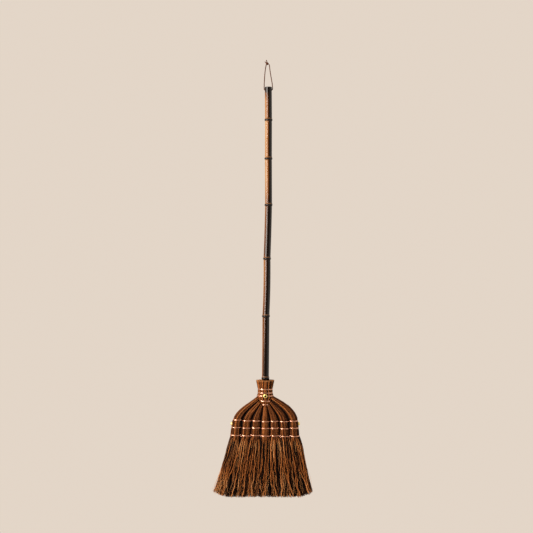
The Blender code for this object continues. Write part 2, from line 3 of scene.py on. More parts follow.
import bmesh
import bpy
import numpy as np
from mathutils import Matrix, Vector


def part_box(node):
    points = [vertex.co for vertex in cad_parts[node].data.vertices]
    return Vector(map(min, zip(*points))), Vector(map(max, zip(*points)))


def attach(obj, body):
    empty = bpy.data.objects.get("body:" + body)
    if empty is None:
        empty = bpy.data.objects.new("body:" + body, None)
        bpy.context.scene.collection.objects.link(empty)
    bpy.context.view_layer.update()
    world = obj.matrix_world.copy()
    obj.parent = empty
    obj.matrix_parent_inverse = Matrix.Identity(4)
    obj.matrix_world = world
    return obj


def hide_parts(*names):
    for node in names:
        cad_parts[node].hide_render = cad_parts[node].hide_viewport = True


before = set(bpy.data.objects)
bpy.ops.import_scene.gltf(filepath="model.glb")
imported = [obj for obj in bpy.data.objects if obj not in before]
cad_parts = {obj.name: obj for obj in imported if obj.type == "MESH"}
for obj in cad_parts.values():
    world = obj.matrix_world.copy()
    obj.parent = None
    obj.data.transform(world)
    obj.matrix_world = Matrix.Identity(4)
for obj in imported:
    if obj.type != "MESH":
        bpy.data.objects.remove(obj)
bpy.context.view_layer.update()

scene = bpy.context.scene

# The head's own axis and the top of its neck, which the head's pieces are measured from
collarLow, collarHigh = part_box("neck_collar")
headAcross = 0.5 * (collarLow.x + collarHigh.x)
headTop = collarHigh.z
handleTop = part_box("handle")[1].z
loopBody, broomBody = "hanging_loop", "broom"


# Camera and light

view = {
    "photoSize": 533,
    "metresPerPixel": 0.00313,
    "centre": (-0.0016, 0.0, -0.6285),
    "distance": 3.6,
    "sensor": 36.0,
}

studio = {
    "backdrop": (0.77, 0.67, 0.575),
    "floorDrop": 2.02,
    "floorRadius": 2.1,
    "floorSides": 96,
    "floorRoughness": 0.9,
    "ambient": 0.13,
    "roomShare": 0.05,
    "roomFacing": (-0.92, -0.35),  # the directions in Y between which gloss turns from room to backdrop
    "warm": (1.0, 0.93, 0.86),
    "aim": (0.0, 0.0, -0.63),
    # each lamp's place, its size and its power
    "lamps": {
        "keyLamp": ((-2.20, -1.85, 0.25), (1.25, 2.6), 164.0),
        "fillLamp": ((2.40, -0.95, -0.5), (1.7, 2.6), 10.0),
        "topLamp": ((-0.5, -0.9, 1.7), (1.2, 0.8), 2.5),
    },
}


def addCamera():
    data = bpy.data.cameras.new("camera")
    data.sensor_width = view["sensor"]
    width = view["photoSize"] * view["metresPerPixel"]
    data.lens = view["sensor"] * view["distance"] / width
    camera = bpy.data.objects.new("camera", data)
    camera.location = Vector(view["centre"]) - Vector((0, view["distance"], 0))
    camera.rotation_euler = (math.radians(90), 0, 0)
    scene.collection.objects.link(camera)
    scene.camera = camera


def addLamp(name, place, size, power):
    data = bpy.data.lights.new(name, "AREA")
    data.shape = "RECTANGLE"
    data.size, data.size_y = size
    data.energy = power
    data.color = studio["warm"]
    lamp = bpy.data.objects.new(name, data)
    lamp.location = place
    aim = Vector(studio["aim"]) - Vector(place)
    lamp.rotation_euler = aim.to_track_quat("-Z", "Y").to_euler()
    scene.collection.objects.link(lamp)


def addNode(tree, kind, **settings):
    made = tree.nodes.new(kind)
    for name, value in settings.items():
        setattr(made, name, value)
    return made


def feed(tree, socket, value):
    # a number or a colour is set, and another node's output is linked
    if isinstance(value, (int, float)):
        socket.default_value = value
    elif isinstance(value, tuple):
        socket.default_value = (*value, 1)
    else:
        tree.links.new(value, socket)


def arithmetic(tree, operation, *values, clamp=False):
    made = addNode(tree, "ShaderNodeMath", operation=operation, use_clamp=clamp)
    for socket, value in zip(made.inputs, values):
        feed(tree, socket, value)
    return made.outputs[0]


def times(tree, first, second):
    return arithmetic(tree, "MULTIPLY", first, second)


def remap(tree, value, start, end, low=0.0, high=1.0, curve="LINEAR"):
    made = addNode(tree, "ShaderNodeMapRange", interpolation_type=curve)
    for socket, given in zip(made.inputs, (value, start, end, low, high)):
        feed(tree, socket, given)
    return made.outputs[0]


def buildStudio():
    world = bpy.data.worlds.new("studio")
    scene.world = world
    world.use_nodes = True
    tree = world.node_tree
    tree.nodes.clear()
    path = addNode(tree, "ShaderNodeLightPath")
    shown = addNode(tree, "ShaderNodeBackground")
    shown.inputs["Color"].default_value = (*studio["backdrop"], 1)
    soft = addNode(tree, "ShaderNodeBackground")
    soft.inputs["Color"].default_value = (*studio["warm"], 1)
    soft.inputs["Strength"].default_value = studio["ambient"]
    mix = addNode(tree, "ShaderNodeMixShader")
    out = addNode(tree, "ShaderNodeOutputWorld")
    # the pale backdrop shows to the camera and in gloss, and is dimmer in gloss that faces the room in front
    coords = addNode(tree, "ShaderNodeTexCoord")
    parts = addNode(tree, "ShaderNodeSeparateXYZ")
    tree.links.new(coords.outputs["Generated"], parts.inputs[0])
    facing = remap(tree, parts.outputs[1], *studio["roomFacing"], low=studio["roomShare"], curve="SMOOTHSTEP")
    seen = arithmetic(tree, "MAXIMUM", path.outputs["Is Glossy Ray"], path.outputs["Is Transmission Ray"])
    seen = arithmetic(tree, "MAXIMUM", times(tree, seen, facing), path.outputs["Is Camera Ray"])
    for socket, value in zip(mix.inputs, (seen, soft.outputs[0], shown.outputs[0])):
        tree.links.new(value, socket)
    tree.links.new(mix.outputs[0], out.inputs[0])

    for name, settings in studio["lamps"].items():
        addLamp(name, *settings)

    bm = bmesh.new()
    bmesh.ops.create_circle(bm, cap_ends=True, segments=studio["floorSides"], radius=studio["floorRadius"])
    data = bpy.data.meshes.new("floor")
    bm.to_mesh(data)
    bm.free()
    floor = bpy.data.objects.new("floor", data)
    floor.location = (0, 0, -studio["floorDrop"])
    scene.collection.objects.link(floor)
    finish = bpy.data.materials.new("paleFloor")
    finish.use_nodes = True
    shader = finish.node_tree.nodes["Principled BSDF"]
    shader.inputs["Base Color"].default_value = (*studio["backdrop"], 1)
    shader.inputs["Roughness"].default_value = studio["floorRoughness"]
    data.materials.append(finish)


scene.view_settings.view_transform = "Standard"
addCamera()
buildStudio()
print("studio done")


# Shared effects

def startGroup(name, inputs, outputs):
    group = bpy.data.node_groups.new(name, "ShaderNodeTree")
    for label, kind, value in inputs:
        made = group.interface.new_socket(name=label, in_out="INPUT", socket_type=kind)
        made.default_value = value
    for label, kind in outputs:
        group.interface.new_socket(name=label, in_out="OUTPUT", socket_type=kind)
    return group, addNode(group, "NodeGroupInput"), addNode(group, "NodeGroupOutput")


def mixColours(tree, share, first, second, blend="MIX"):
    made = addNode(tree, "ShaderNodeMix", data_type="RGBA", blend_type=blend)
    for socket, value in ((made.inputs[0], share), (made.inputs[6], first), (made.inputs[7], second)):
        feed(tree, socket, value)
    return made.outputs[2]


def reading(tree, name):
    # a number that each point of the mesh carries
    return addNode(tree, "ShaderNodeAttribute", attribute_name=name).outputs["Fac"]


def noise(tree, place, scale, detail):
    made = addNode(tree, "ShaderNodeTexNoise")
    for name, value in (("Vector", place), ("Scale", scale), ("Detail", detail)):
        feed(tree, made.inputs[name], value)
    return made.outputs[0]


def strandColourGroup():
    # a strand's colour from its tone, which also carries painted shade, with slow changes along it and paler cut ends
    colour, number = "NodeSocketColor", "NodeSocketFloat"
    group, entry, leave = startGroup(
        "strandColour",
        [
            ("Dark", colour, (0.02, 0.01, 0.005, 1)),
            ("Middle", colour, (0.18, 0.06, 0.02, 1)),
            ("Light", colour, (0.45, 0.17, 0.05, 1)),
            ("Pale", colour, (0.65, 0.40, 0.20, 1)),
            ("Start Paleness", number, 0.0),
            ("End Paleness", number, 0.0),
            ("Banding", number, 0.2),
        ],
        [("Colour", colour), ("Roughness", number)],
    )
    given = entry.outputs
    tone, along = reading(group, "tone"), reading(group, "along")
    place = addNode(group, "ShaderNodeCombineXYZ")
    group.links.new(times(group, tone, 30.0), place.inputs[0])
    group.links.new(times(group, along, 9.0), place.inputs[1])
    bands = arithmetic(group, "SUBTRACT", noise(group, place.outputs[0], 1.0, 3.0), 0.5)
    swing = arithmetic(group, "MULTIPLY_ADD", times(group, bands, given["Banding"]), 2.0, 1.0)
    level = arithmetic(group, "MULTIPLY", tone, swing, clamp=True)
    body = given["Dark"]
    for start, end, name in ((0.0, 0.45, "Middle"), (0.45, 0.85, "Light"), (0.85, 1.0, "Pale")):
        body = mixColours(group, remap(group, level, start, end), body, given[name])
    near = times(group, remap(group, along, 0.05, 0.0), given["Start Paleness"])
    worn = times(group, remap(group, along, 0.60, 1.0), level)
    for share in (near, times(group, worn, given["End Paleness"])):
        body = mixColours(group, share, body, given["Pale"])
    group.links.new(body, leave.inputs["Colour"])
    group.links.new(remap(group, level, 0.0, 1.0, 0.75, 0.50), leave.inputs["Roughness"])
    return group


def grainGroup():
    # long streaks along Z with fine speckle, as a height and a mask
    number = "NodeSocketFloat"
    group, entry, leave = startGroup(
        "lengthwiseGrain",
        [("Scale", number, 100.0), ("Stretch", number, 12.0)],
        [("Height", number), ("Mask", number)],
    )
    coords = addNode(group, "ShaderNodeTexCoord")
    parts = addNode(group, "ShaderNodeSeparateXYZ")
    group.links.new(coords.outputs["Object"], parts.inputs[0])
    squeezed = addNode(group, "ShaderNodeCombineXYZ")
    scale = entry.outputs["Scale"]
    scales = (scale, scale, arithmetic(group, "DIVIDE", scale, entry.outputs["Stretch"]))
    for axis in range(3):
        group.links.new(times(group, parts.outputs[axis], scales[axis]), squeezed.inputs[axis])
    streaks = noise(group, squeezed.outputs[0], 1.0, 5.0)
    group.links.new(streaks, leave.inputs["Height"])
    group.links.new(remap(group, streaks, 0.38, 0.62), leave.inputs["Mask"])
    return group


def tarnishGroup():
    # blotches of handling and tarnish on bare metal
    colour, number = "NodeSocketColor", "NodeSocketFloat"
    group, entry, leave = startGroup(
        "tarnish",
        [
            ("Bright", colour, (0.9, 0.6, 0.3, 1)),
            ("Tarnished", colour, (0.3, 0.15, 0.08, 1)),
            ("Scale", number, 300.0),
            ("Amount", number, 0.5),
            ("Smooth", number, 0.15),
            ("Rough", number, 0.4),
        ],
        [("Colour", colour), ("Roughness", number), ("Height", number)],
    )
    coords = addNode(group, "ShaderNodeTexCoord")
    given = entry.outputs
    blotches = noise(group, coords.outputs["Object"], given["Scale"], 4.0)
    mask = remap(group, blotches, 0.42, 0.70)
    body = mixColours(group, times(group, mask, given["Amount"]), given["Bright"], given["Tarnished"])
    rough = remap(group, mask, 0.0, 1.0, given["Smooth"], given["Rough"])
    for name, value in (("Colour", body), ("Roughness", rough), ("Height", blotches)):
        group.links.new(value, leave.inputs[name])
    return group


strandColour = strandColourGroup()
lengthwiseGrain = grainGroup()
tarnish = tarnishGroup()


def startMaterial(name):
    made = bpy.data.materials.new(name)
    made.use_nodes = True
    tree = made.node_tree
    return made, tree, tree.nodes["Principled BSDF"]


def useGroup(tree, group, **values):
    made = addNode(tree, "ShaderNodeGroup", node_tree=group)
    for label, value in values.items():
        socket = made.inputs[label.replace("_", " ")]
        socket.default_value = (*value, 1) if isinstance(value, tuple) else value
    return made


def addBump(tree, shader, height, strength, distance):
    bump = addNode(tree, "ShaderNodeBump")
    bump.inputs["Strength"].default_value = strength
    bump.inputs["Distance"].default_value = distance
    tree.links.new(height, bump.inputs["Height"])
    tree.links.new(bump.outputs[0], shader.inputs["Normal"])


def strandMaterial(name, looks, shine=0.14):
    made, tree, shader = startMaterial(name)
    group = useGroup(tree, strandColour, **looks)
    tree.links.new(group.outputs["Colour"], shader.inputs["Base Color"])
    tree.links.new(group.outputs["Roughness"], shader.inputs["Roughness"])
    shader.inputs["Specular IOR Level"].default_value = shine
    return made


def metalMaterial(name, looks, bumpDistance):
    made, tree, shader = startMaterial(name)
    group = useGroup(tree, tarnish, **looks)
    tree.links.new(group.outputs["Colour"], shader.inputs["Base Color"])
    tree.links.new(group.outputs["Roughness"], shader.inputs["Roughness"])
    shader.inputs["Metallic"].default_value = 1.0
    addBump(tree, shader, group.outputs["Height"], 0.25, bumpDistance)
    return made


def grainMaterial(name, dark, light, shine, roughness=0.55, scale=1500.0, stretch=10.0, bump=(0.4, 0.0003)):
    # bump is its strength and its distance
    made, tree, shader = startMaterial(name)
    group = useGroup(tree, lengthwiseGrain, Scale=scale, Stretch=stretch)
    tree.links.new(mixColours(tree, group.outputs["Mask"], dark, light), shader.inputs["Base Color"])
    shader.inputs["Roughness"].default_value = roughness
    shader.inputs["Specular IOR Level"].default_value = shine
    addBump(tree, shader, group.outputs["Height"], *bump)
    return made


culmSkin = {
    "blotching": 0.6,
    "streaking": 0.25,
    "darkest": (0.006, 0.003, 0.0015, 1),
    "between": ((0.22, (0.030, 0.011, 0.003)), (0.46, (0.19, 0.060, 0.012)), (0.70, (0.41, 0.180, 0.058))),
    "lightest": (0.60, 0.37, 0.18, 1),
    # what covers the skin, from the bottom up
    "covers": {"ring": (0.008, 0.006, 0.006), "scar": (0.36, 0.17, 0.07), "cut": (0.24, 0.15, 0.08)},
    "roughness": (0.17, 0.21),
    "shine": 0.26,
}


def bambooMaterial():
    # near-black culm: amber where the dark skin thins, painted paler on the left as painted light, black rings and a
    # thin tan scar at each joint
    made, tree, shader = startMaterial("blackBamboo")
    grain = useGroup(tree, lengthwiseGrain, Scale=170.0, Stretch=120.0)
    blotch = useGroup(tree, lengthwiseGrain, Scale=110.0, Stretch=40.0)
    edge = times(tree, arithmetic(tree, "SUBTRACT", blotch.outputs["Height"], 0.5), culmSkin["blotching"])
    ramp = addNode(tree, "ShaderNodeValToRGB")
    # the amber reading is real amber along the culm with painted light added on its lit left side
    tree.links.new(arithmetic(tree, "ADD", reading(tree, "amberAndLitSide"), edge, clamp=True), ramp.inputs[0])
    stops = ramp.color_ramp.elements
    stops[0].color, stops[1].color = culmSkin["darkest"], culmSkin["lightest"]
    for position, colour in culmSkin["between"]:
        stops.new(position).color = (*colour, 1)
    body = mixColours(tree, culmSkin["streaking"], ramp.outputs[0], grain.outputs["Mask"], blend="MULTIPLY")
    for name, colour in culmSkin["covers"].items():
        body = mixColours(tree, reading(tree, name), body, colour)
    tree.links.new(body, shader.inputs["Base Color"])
    rough = remap(tree, grain.outputs["Mask"], 0.0, 1.0, *culmSkin["roughness"])
    tree.links.new(rough, shader.inputs["Roughness"])
    shader.inputs["Specular IOR Level"].default_value = culmSkin["shine"]
    addBump(tree, shader, grain.outputs["Height"], 0.006, 0.0004)
    return made


fibreLooks = {
    "Dark": (0.004, 0.0017, 0.0008),
    "Middle": (0.150, 0.044, 0.012),
    "Light": (0.53, 0.172, 0.038),
    "Pale": (0.74, 0.35, 0.13),
    "Banding": 0.24,
}
twineLooks = {
    "Dark": (0.009, 0.002, 0.001),
    "Middle": (0.070, 0.018, 0.005),
    "Light": (0.17, 0.048, 0.014),
    "Pale": (0.28, 0.095, 0.034),
    "Banding": 0.6,
}
copperLooks = {
    "Bright": (0.93, 0.55, 0.39), "Tarnished": (0.66, 0.28, 0.15),
    "Scale": 260.0, "Amount": 0.6, "Smooth": 0.20, "Rough": 0.32,
}
brassLooks = {
    "Bright": (1.0, 0.82, 0.30), "Tarnished": (0.88, 0.62, 0.17),
    "Scale": 380.0, "Amount": 0.3, "Smooth": 0.44, "Rough": 0.56,
}
finishes = {
    "sheath": strandMaterial("palmSheath", fibreLooks),
    "collar": strandMaterial("collarFibre", {**fibreLooks, "Start_Paleness": 0.5}),
    "bristle": strandMaterial("palmBristle", {**fibreLooks, "End_Paleness": 0.14}),
    # painted shade: the cores under the strands are near black so that fibre deep inside reads as shade
    "core": grainMaterial(
        "shadedInnerFibre", (0.004, 0.002, 0.001), (0.030, 0.010, 0.004), 0.05,
        roughness=0.9, scale=900.0, stretch=9.0, bump=(0.8, 0.0008),
    ),
    "copper": metalMaterial("copperWire", copperLooks, 0.00006),
    "brass": metalMaterial("polishedBrass", brassLooks, 0.00005),
    "pin": grainMaterial("pinBamboo", (0.003, 0.002, 0.0015), (0.010, 0.006, 0.004), 0.06),
    "skewer": grainMaterial("skewerBamboo", (0.42, 0.29, 0.15), (0.62, 0.46, 0.27), 0.4),
    "twine": strandMaterial("twine", twineLooks, 0.03),
    "bamboo": bambooMaterial(),
}
print("materials done")


# Sums used in many places

def circle(sides):
    return 2 * np.pi * np.arange(sides) / sides


def mixed(start, end, share):
    return start + (end - start) * share


def climb(value, start, span):
    # from 0 at the start to 1 a span further on
    return np.clip((value - start) / span, 0, 1)


def hump(value, place, width, power=2):
    return np.exp(-(((value - place) / width) ** power))


def unit(vectors):
    return vectors / np.maximum(np.linalg.norm(vectors, axis=-1, keepdims=True), 1e-9)


def walkedAlong(points):
    # the distance along a line to each of its points
    return np.concatenate(([0], np.cumsum(np.linalg.norm(np.diff(points, axis=0), axis=1))))


# Mesh makers

def addPiece(name, mesh, finish, body, slot, *nodes):
    piece = bpy.data.objects.new(name, mesh)
    scene.collection.objects.link(piece)
    mesh.materials.append(finishes[finish])
    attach(piece, body)
    if nodes:
        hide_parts(*nodes)
    return piece


def meshFrom(name, points, corners, sizes):
    mesh = bpy.data.meshes.new(name)
    mesh.vertices.add(len(points))
    mesh.vertices.foreach_set("co", np.ascontiguousarray(points, np.float32).ravel())
    mesh.loops.add(len(corners))
    mesh.loops.foreach_set("vertex_index", np.ascontiguousarray(corners, np.int32))
    mesh.polygons.add(len(sizes))
    starts = np.concatenate(([0], np.cumsum(sizes)[:-1])).astype(np.int32)
    mesh.polygons.foreach_set("loop_start", starts)
    mesh.update(calc_edges=True)
    mesh.shade_smooth()
    return mesh


def addValues(mesh, name, values):
    layer = mesh.attributes.new(name, "FLOAT", "POINT")
    layer.data.foreach_set("value", np.ascontiguousarray(values, np.float32).ravel())


def ringFaces(rows, sides):
    # corners of the quads over rows of points; rows run down and points anticlockwise from above
    row, side = np.meshgrid(np.arange(rows - 1), np.arange(sides), indexing="ij")
    here, below, after = row * sides, (row + 1) * sides, (side + 1) % sides
    return np.stack((here + side, below + side, below + after, here + after), axis=-1).reshape(-1)


def closedFaces(rows, sides):
    # the corners and sizes of those quads and of a cap on each end
    quads, side = ringFaces(rows, sides), np.arange(sides)
    corners = np.concatenate((quads, side, (rows - 1) * sides + side[::-1]))
    return corners, [4] * (len(quads) // 4) + [sides, sides]


def joinSkins(name, *skins):
    # closed skins in one mesh, each over its rings of points (rows, sides, 3)
    points, corners, sizes, first = [], [], [], 0
    for rings in skins:
        faces, faceSizes = closedFaces(*rings.shape[:2])
        points.append(rings.reshape(-1, 3))
        corners.append(first + faces)
        sizes += faceSizes
        first += len(points[-1])
    return meshFrom(name, np.concatenate(points), np.concatenate(corners), sizes)


goldenAngle = 2.399


def strandMesh(name, groups, sides=3):
    # many thin strands in one mesh; a group is its paths (strands, steps, 3), radii (strands, steps) and tones
    points, corners, sizes, shades, alongs, spots = [], [], [], [], [], []
    first = 0
    for paths, radii, tones in groups:
        count, steps = paths.shape[:2]
        way = unit(np.gradient(paths, axis=1))
        outward = unit(np.cross(way, (0.0, 1.0, 0.0)))
        sideways = np.cross(outward, way)
        spin = (np.arange(count) * goldenAngle)[:, None] + circle(sides)
        spin = spin[:, None, :, None]
        ring = np.cos(spin) * outward[:, :, None] + np.sin(spin) * sideways[:, :, None]
        points.append((paths[:, :, None] + radii[:, :, None, None] * ring).reshape(-1, 3))
        faces, faceSizes = closedFaces(steps, sides)
        starts = first + np.arange(count) * steps * sides
        corners.append((starts[:, None] + faces).ravel())
        sizes.append(np.tile(faceSizes, count))
        along = np.linspace(0, 1, steps)
        tones = np.broadcast_to(tones if np.ndim(tones) == 2 else tones[:, None], (count, steps))
        shades.append(np.repeat(tones.ravel(), sides))
        alongs.append(np.tile(np.repeat(along, sides), count))
        spots.append(strandMap(tones, along, sides))
        first += count * steps * sides
    mesh = meshFrom(name, np.concatenate(points), np.concatenate(corners), np.concatenate(sizes))
    addValues(mesh, "tone", np.concatenate(shades))
    addValues(mesh, "along", np.concatenate(alongs))
    layer = mesh.uv_layers.new(name="OFBake")
    layer.data.foreach_set("uv", np.concatenate(spots).astype(np.float32).ravel())
    return mesh


def strandMap(tones, along, sides):
    # map places set by tone and by distance along, so that strands of one tone share their place
    steps = len(along)
    row, side = np.meshgrid(np.arange(steps - 1), np.arange(sides), indexing="ij")
    acrossOne = np.stack((side, side, side + 1, side + 1), axis=-1).reshape(-1) / sides
    rowOne = np.stack((row, row + 1, row + 1, row), axis=-1).reshape(-1)
    capAcross = np.concatenate((np.arange(sides), np.arange(sides)[::-1])) / (sides - 1)
    capRow = np.repeat((0, steps - 1), sides)
    lift = 0.01 * (np.arange(sides) % 2)
    across = np.concatenate((acrossOne, capAcross))
    rows = np.concatenate((rowOne, capRow))
    up = along[rows] + np.concatenate((0 * rowOne, lift, -lift))
    u = 0.01 + 0.97 * np.clip(tones[:, rows], 0, 1) + 0.008 * across[None, :]
    v = np.broadcast_to(0.02 + 0.96 * up[None, :], u.shape)
    return np.stack((u, v), axis=-1).reshape(-1, 2)


def sweepTube(points, radius, sides=12, lobes=0.0, pitch=1.0):
    # rings of a round or two-lobed twisted tube along points
    way = unit(np.gradient(points, axis=0))
    normal = np.cross(way[0], (0.0, 1.0, 0.0) if abs(way[0][1]) < 0.9 else (1.0, 0.0, 0.0))
    normals = []
    for heading in way:
        normal = unit(normal - heading * np.dot(normal, heading))
        normals.append(normal)
    normals = np.array(normals)
    others = np.cross(normals, way)
    angles = circle(sides)
    twist = 2 * np.pi * walkedAlong(points)[:, None] / pitch
    reach = radius * (1 - lobes + lobes * np.cos(angles - twist) ** 2)
    ring = np.cos(angles)[:, None] * normals[:, None] + np.sin(angles)[:, None] * others[:, None]
    return points[:, None] + reach[:, :, None] * ring


def turnedMesh(name, profile, sides, place, axis):
    # a (radius, height) profile turned about an axis; it ends on the axis or comes back to its start
    turn = Vector(axis).to_track_quat("Z", "Y")
    bm = bmesh.new()
    rows = []
    for radius, height in profile:
        angles = circle(sides) if radius else [0.0]
        ring = [(radius * math.cos(angle), radius * math.sin(angle), height) for angle in angles]
        rows.append([bm.verts.new(turn @ Vector(point) + Vector(place)) for point in ring])
    for low, high in zip(rows, rows[1:]):
        for i in range(sides):
            after = (i + 1) % sides
            corners = (low[i % len(low)], low[after % len(low)], high[after % len(high)], high[i % len(high)])
            corners = list(dict.fromkeys(corners))
            if len(corners) > 2:
                bm.faces.new(corners)
    bmesh.ops.remove_doubles(bm, verts=bm.verts, dist=1e-6)
    bmesh.ops.recalc_face_normals(bm, faces=bm.faces)
    mesh = bpy.data.meshes.new(name)
    bm.to_mesh(mesh)
    bm.free()
    mesh.shade_smooth()
    mesh.set_sharp_from_angle(angle=math.radians(42))
    return mesh


def smoothLine(route, spacing):
    # evenly spaced points on a smooth curve through a route, and the curve's length
    marks = [np.array(point, float) for point in route]
    ends = [2 * marks[0] - marks[1], *marks, 2 * marks[-1] - marks[-2]]
    t = np.linspace(0, 1, 24, endpoint=False)[:, None]
    fine = []
    for before, start, finish, after in zip(ends, ends[1:], ends[2:], ends[3:]):
        pull = (finish - before) * t + (2 * before - 5 * start + 4 * finish - after) * t * t
        fine.append(start + 0.5 * (pull + (3 * start - before - 3 * finish + after) * t**3))
    fine = np.concatenate((*fine, marks[-1:]))
    walked = walkedAlong(fine)
    spots = np.linspace(0, walked[-1], max(2, round(walked[-1] / spacing) + 1))
    return np.stack([np.interp(spots, walked, fine[:, axis]) for axis in range(3)], axis=1), walked[-1]


# Hanging loop

loop = {
    "culmAcross": 0.00411,
    "holeDrop": 0.0109,
    "cordRadius": 0.00135,
    "plyReach": 0.00152,  # the plies' crests stand proud of the cord's mean radius
    "legOffset": 0.0130,
    "legBend": 0.0054,
    "culmRadius": 0.0110,
    "plyPitch": 0.0066,
    "lobes": 0.22,
    # the twine's tone is painted shade in the grooves between the plies and painted light on their crests
    "shadedGrooveTone": 0.18,
    "litCrestTone": 0.55,
    "spacing": 0.0005,
    "leftRoute": (
        (-0.0088, 0, -0.0600), (-0.0080, 0, -0.0430), (-0.0070, 0, -0.0290), (-0.0059, 0, -0.0180),
        (-0.0046, 0, -0.0080), (-0.0032, 0, -0.0005), (-0.00235, 0, 0.0024),
    ),
    "rightRoute": (
        (0.0166, 0, -0.0600), (0.0145, 0, -0.0460), (0.0122, 0, -0.0330), (0.0104, 0, -0.0220),
        (0.0090, 0, -0.0120), (0.0081, 0, -0.0040), (0.0072, 0, 0.0020), (0.00475, 0, 0.0049),
    ),
    "knotCentre": (0.0003, 0.0, 0.0066),
    "knotScale": 0.00112,
    "knotDepth": 0.0013,
    "tails": ((-0.0069, 0.0006, 0.0122), (-0.0022, -0.0006, 0.0175)),
}


def twineMesh(name, lines):
    # twisted two-ply twine along one or more lines, with painted shade in the grooves between the plies and painted
    # light on their crests
    skins, tones, alongs, sides = [], [], [], 14
    for line in lines:
        skins.append(sweepTube(line, loop["plyReach"], sides, loop["lobes"], loop["plyPitch"]))
        share = np.linspace(0, 1, len(line))
        twist = 2 * np.pi * share[:, None] * walkedAlong(line)[-1] / loop["plyPitch"]
        tones.append((loop["shadedGrooveTone"] + loop["litCrestTone"] * np.abs(np.cos(circle(sides) - twist))).ravel())
        alongs.append(np.repeat(share, sides))
    mesh = joinSkins(name, *skins)
    addValues(mesh, "tone", np.concatenate(tones))
    addValues(mesh, "along", np.concatenate(alongs))
    return mesh


def legRoute(side):
    middle, hinge = loop["culmAcross"], handleTop - loop["holeDrop"]
    start = loop["legOffset"] - loop["legBend"]
    route = [(middle + side * out, 0.0, hinge) for out in (0.00015, 0.6 * start)]
    for degrees in (0, 30, 60, 90):
        turn = math.radians(degrees)
        out = start + loop["legBend"] * math.sin(turn)
        route.append((middle + side * out, 0.0, hinge + loop["legBend"] * (1 - math.cos(turn))))
    return route + list(loop["leftRoute"] if side < 0 else loop["rightRoute"])


def buildLoop():
    centre = np.array(loop["knotCentre"])
    t = np.linspace(0, 2 * np.pi, 97)
    ring = np.stack((np.sin(t) + 2 * np.sin(2 * t), np.zeros_like(t), np.cos(t) - 2 * np.cos(2 * t)), axis=1)
    ring *= loop["knotScale"]
    ring[:, 1] = -loop["knotDepth"] * np.sin(3 * t)
    lines = [centre + ring]
    for end in loop["tails"]:
        way = np.array(end) - centre
        bend = centre + 0.55 * way + np.array((0.0006, 0, 0.0004))
        lines.append(smoothLine((centre, bend, end), loop["spacing"])[0])
    for route in (loop["leftRoute"], loop["rightRoute"]):
        # the knot's own twine runs on into each leg
        before, top = np.array(route[-2]), np.array(route[-1])
        heading = unit(top - before)
        lines.append(smoothLine((top + 0.0001 * heading, top + 0.0014 * heading, centre), loop["spacing"])[0])
    knot = addPiece("cordKnot", twineMesh("cordKnot", lines), "twine", loopBody, "cord", "cord_knot")
    for name, side, node, pieces in (
        ("cordLeft", -1, "hanging_cord_left", []),
        ("cordRight", 1, "hanging_cord_right", [knot]),
    ):
        line, length = smoothLine(legRoute(side), loop["spacing"])
        leg = addPiece(name, twineMesh(name, [line]), "twine", loopBody, "cord", node)
        print(name, "length", round(length, 4))


buildLoop()
print("loop done")


# Bamboo handle

culm = {
    "radius": 0.0110,
    "internodes": (0.102, 0.121, 0.145, 0.168, 0.180, 0.194),
    # where the culm runs at its top and at each joint, and how far it bows to the right between them
    "line": (0.0041, 0.0046, 0.0043, 0.0049, 0.0002, -0.0034, -0.0052),
    "bows": (0.0, 0.0, 0.0, 0.0004, 0.0013, 0.0, 0.0),
    "collarDrop": 0.9177,
    "tenonRadius": 0.0106,
    "tenonTaper": 0.0500,
    "tenonEnd": 0.0740,
    "tenonPoint": 0.0045,
    "swell": 0.0018,
    "holeRadius": 0.0029,
    "holeMouth": 0.0042,
    "sides": 56,
    "ripple": 0.00012,
    # the cut end's rings, from its middle out: share of the radius, and drop
    "cutEnd": ((0.30, 0.0010), (0.44, 0.0010), (0.50, 0.0001), (0.90, 0.0), (0.97, 0.0003)),
    # runs of rings about each joint, as distances below it: start, end and step
    "jointRings": ((-0.010, -0.0035, 0.0013), (-0.0035, 0.0045, 0.0004), (0.0045, 0.012, 0.0013)),
    # how far the amber shows at distances below the top, before painted light makes it paler on the left
    "amberAndLitSide": (
        (0.000, 0.05), (0.011, 0.10), (0.018, 0.54), (0.045, 0.76), (0.098, 0.78), (0.104, 0.92), (0.140, 0.90),
        (0.200, 0.82), (0.222, 0.84), (0.280, 0.86), (0.335, 0.74), (0.352, 0.68), (0.372, 0.66), (0.430, 0.60),
        (0.520, 0.50), (0.541, 0.80), (0.600, 0.80), (0.680, 0.74), (0.712, 0.64), (0.722, 0.72), (0.790, 0.74),
        (0.830, 0.68), (0.900, 0.60),
    ),
    # and how far round from the left it reaches: painted light on the side the key lamp lights
    "litSideReach": ((0.0, 0.62), (0.34, 0.62), (0.38, 0.32), (0.50, 0.24), (0.72, 0.20), (0.95, 0.30)),
}


def culmAcross(below):
    ends = np.concatenate(([0], np.cumsum(culm["internodes"])))
    ends = np.append(ends, culm["collarDrop"] + culm["tenonEnd"])
    run = np.interp(below, ends, np.arange(len(ends)))
    bow = np.take((*culm["bows"], 0.0), np.floor(run).astype(int))
    return np.interp(below, ends, (*culm["line"], headAcross)) + bow * np.sin(np.pi * (run % 1))


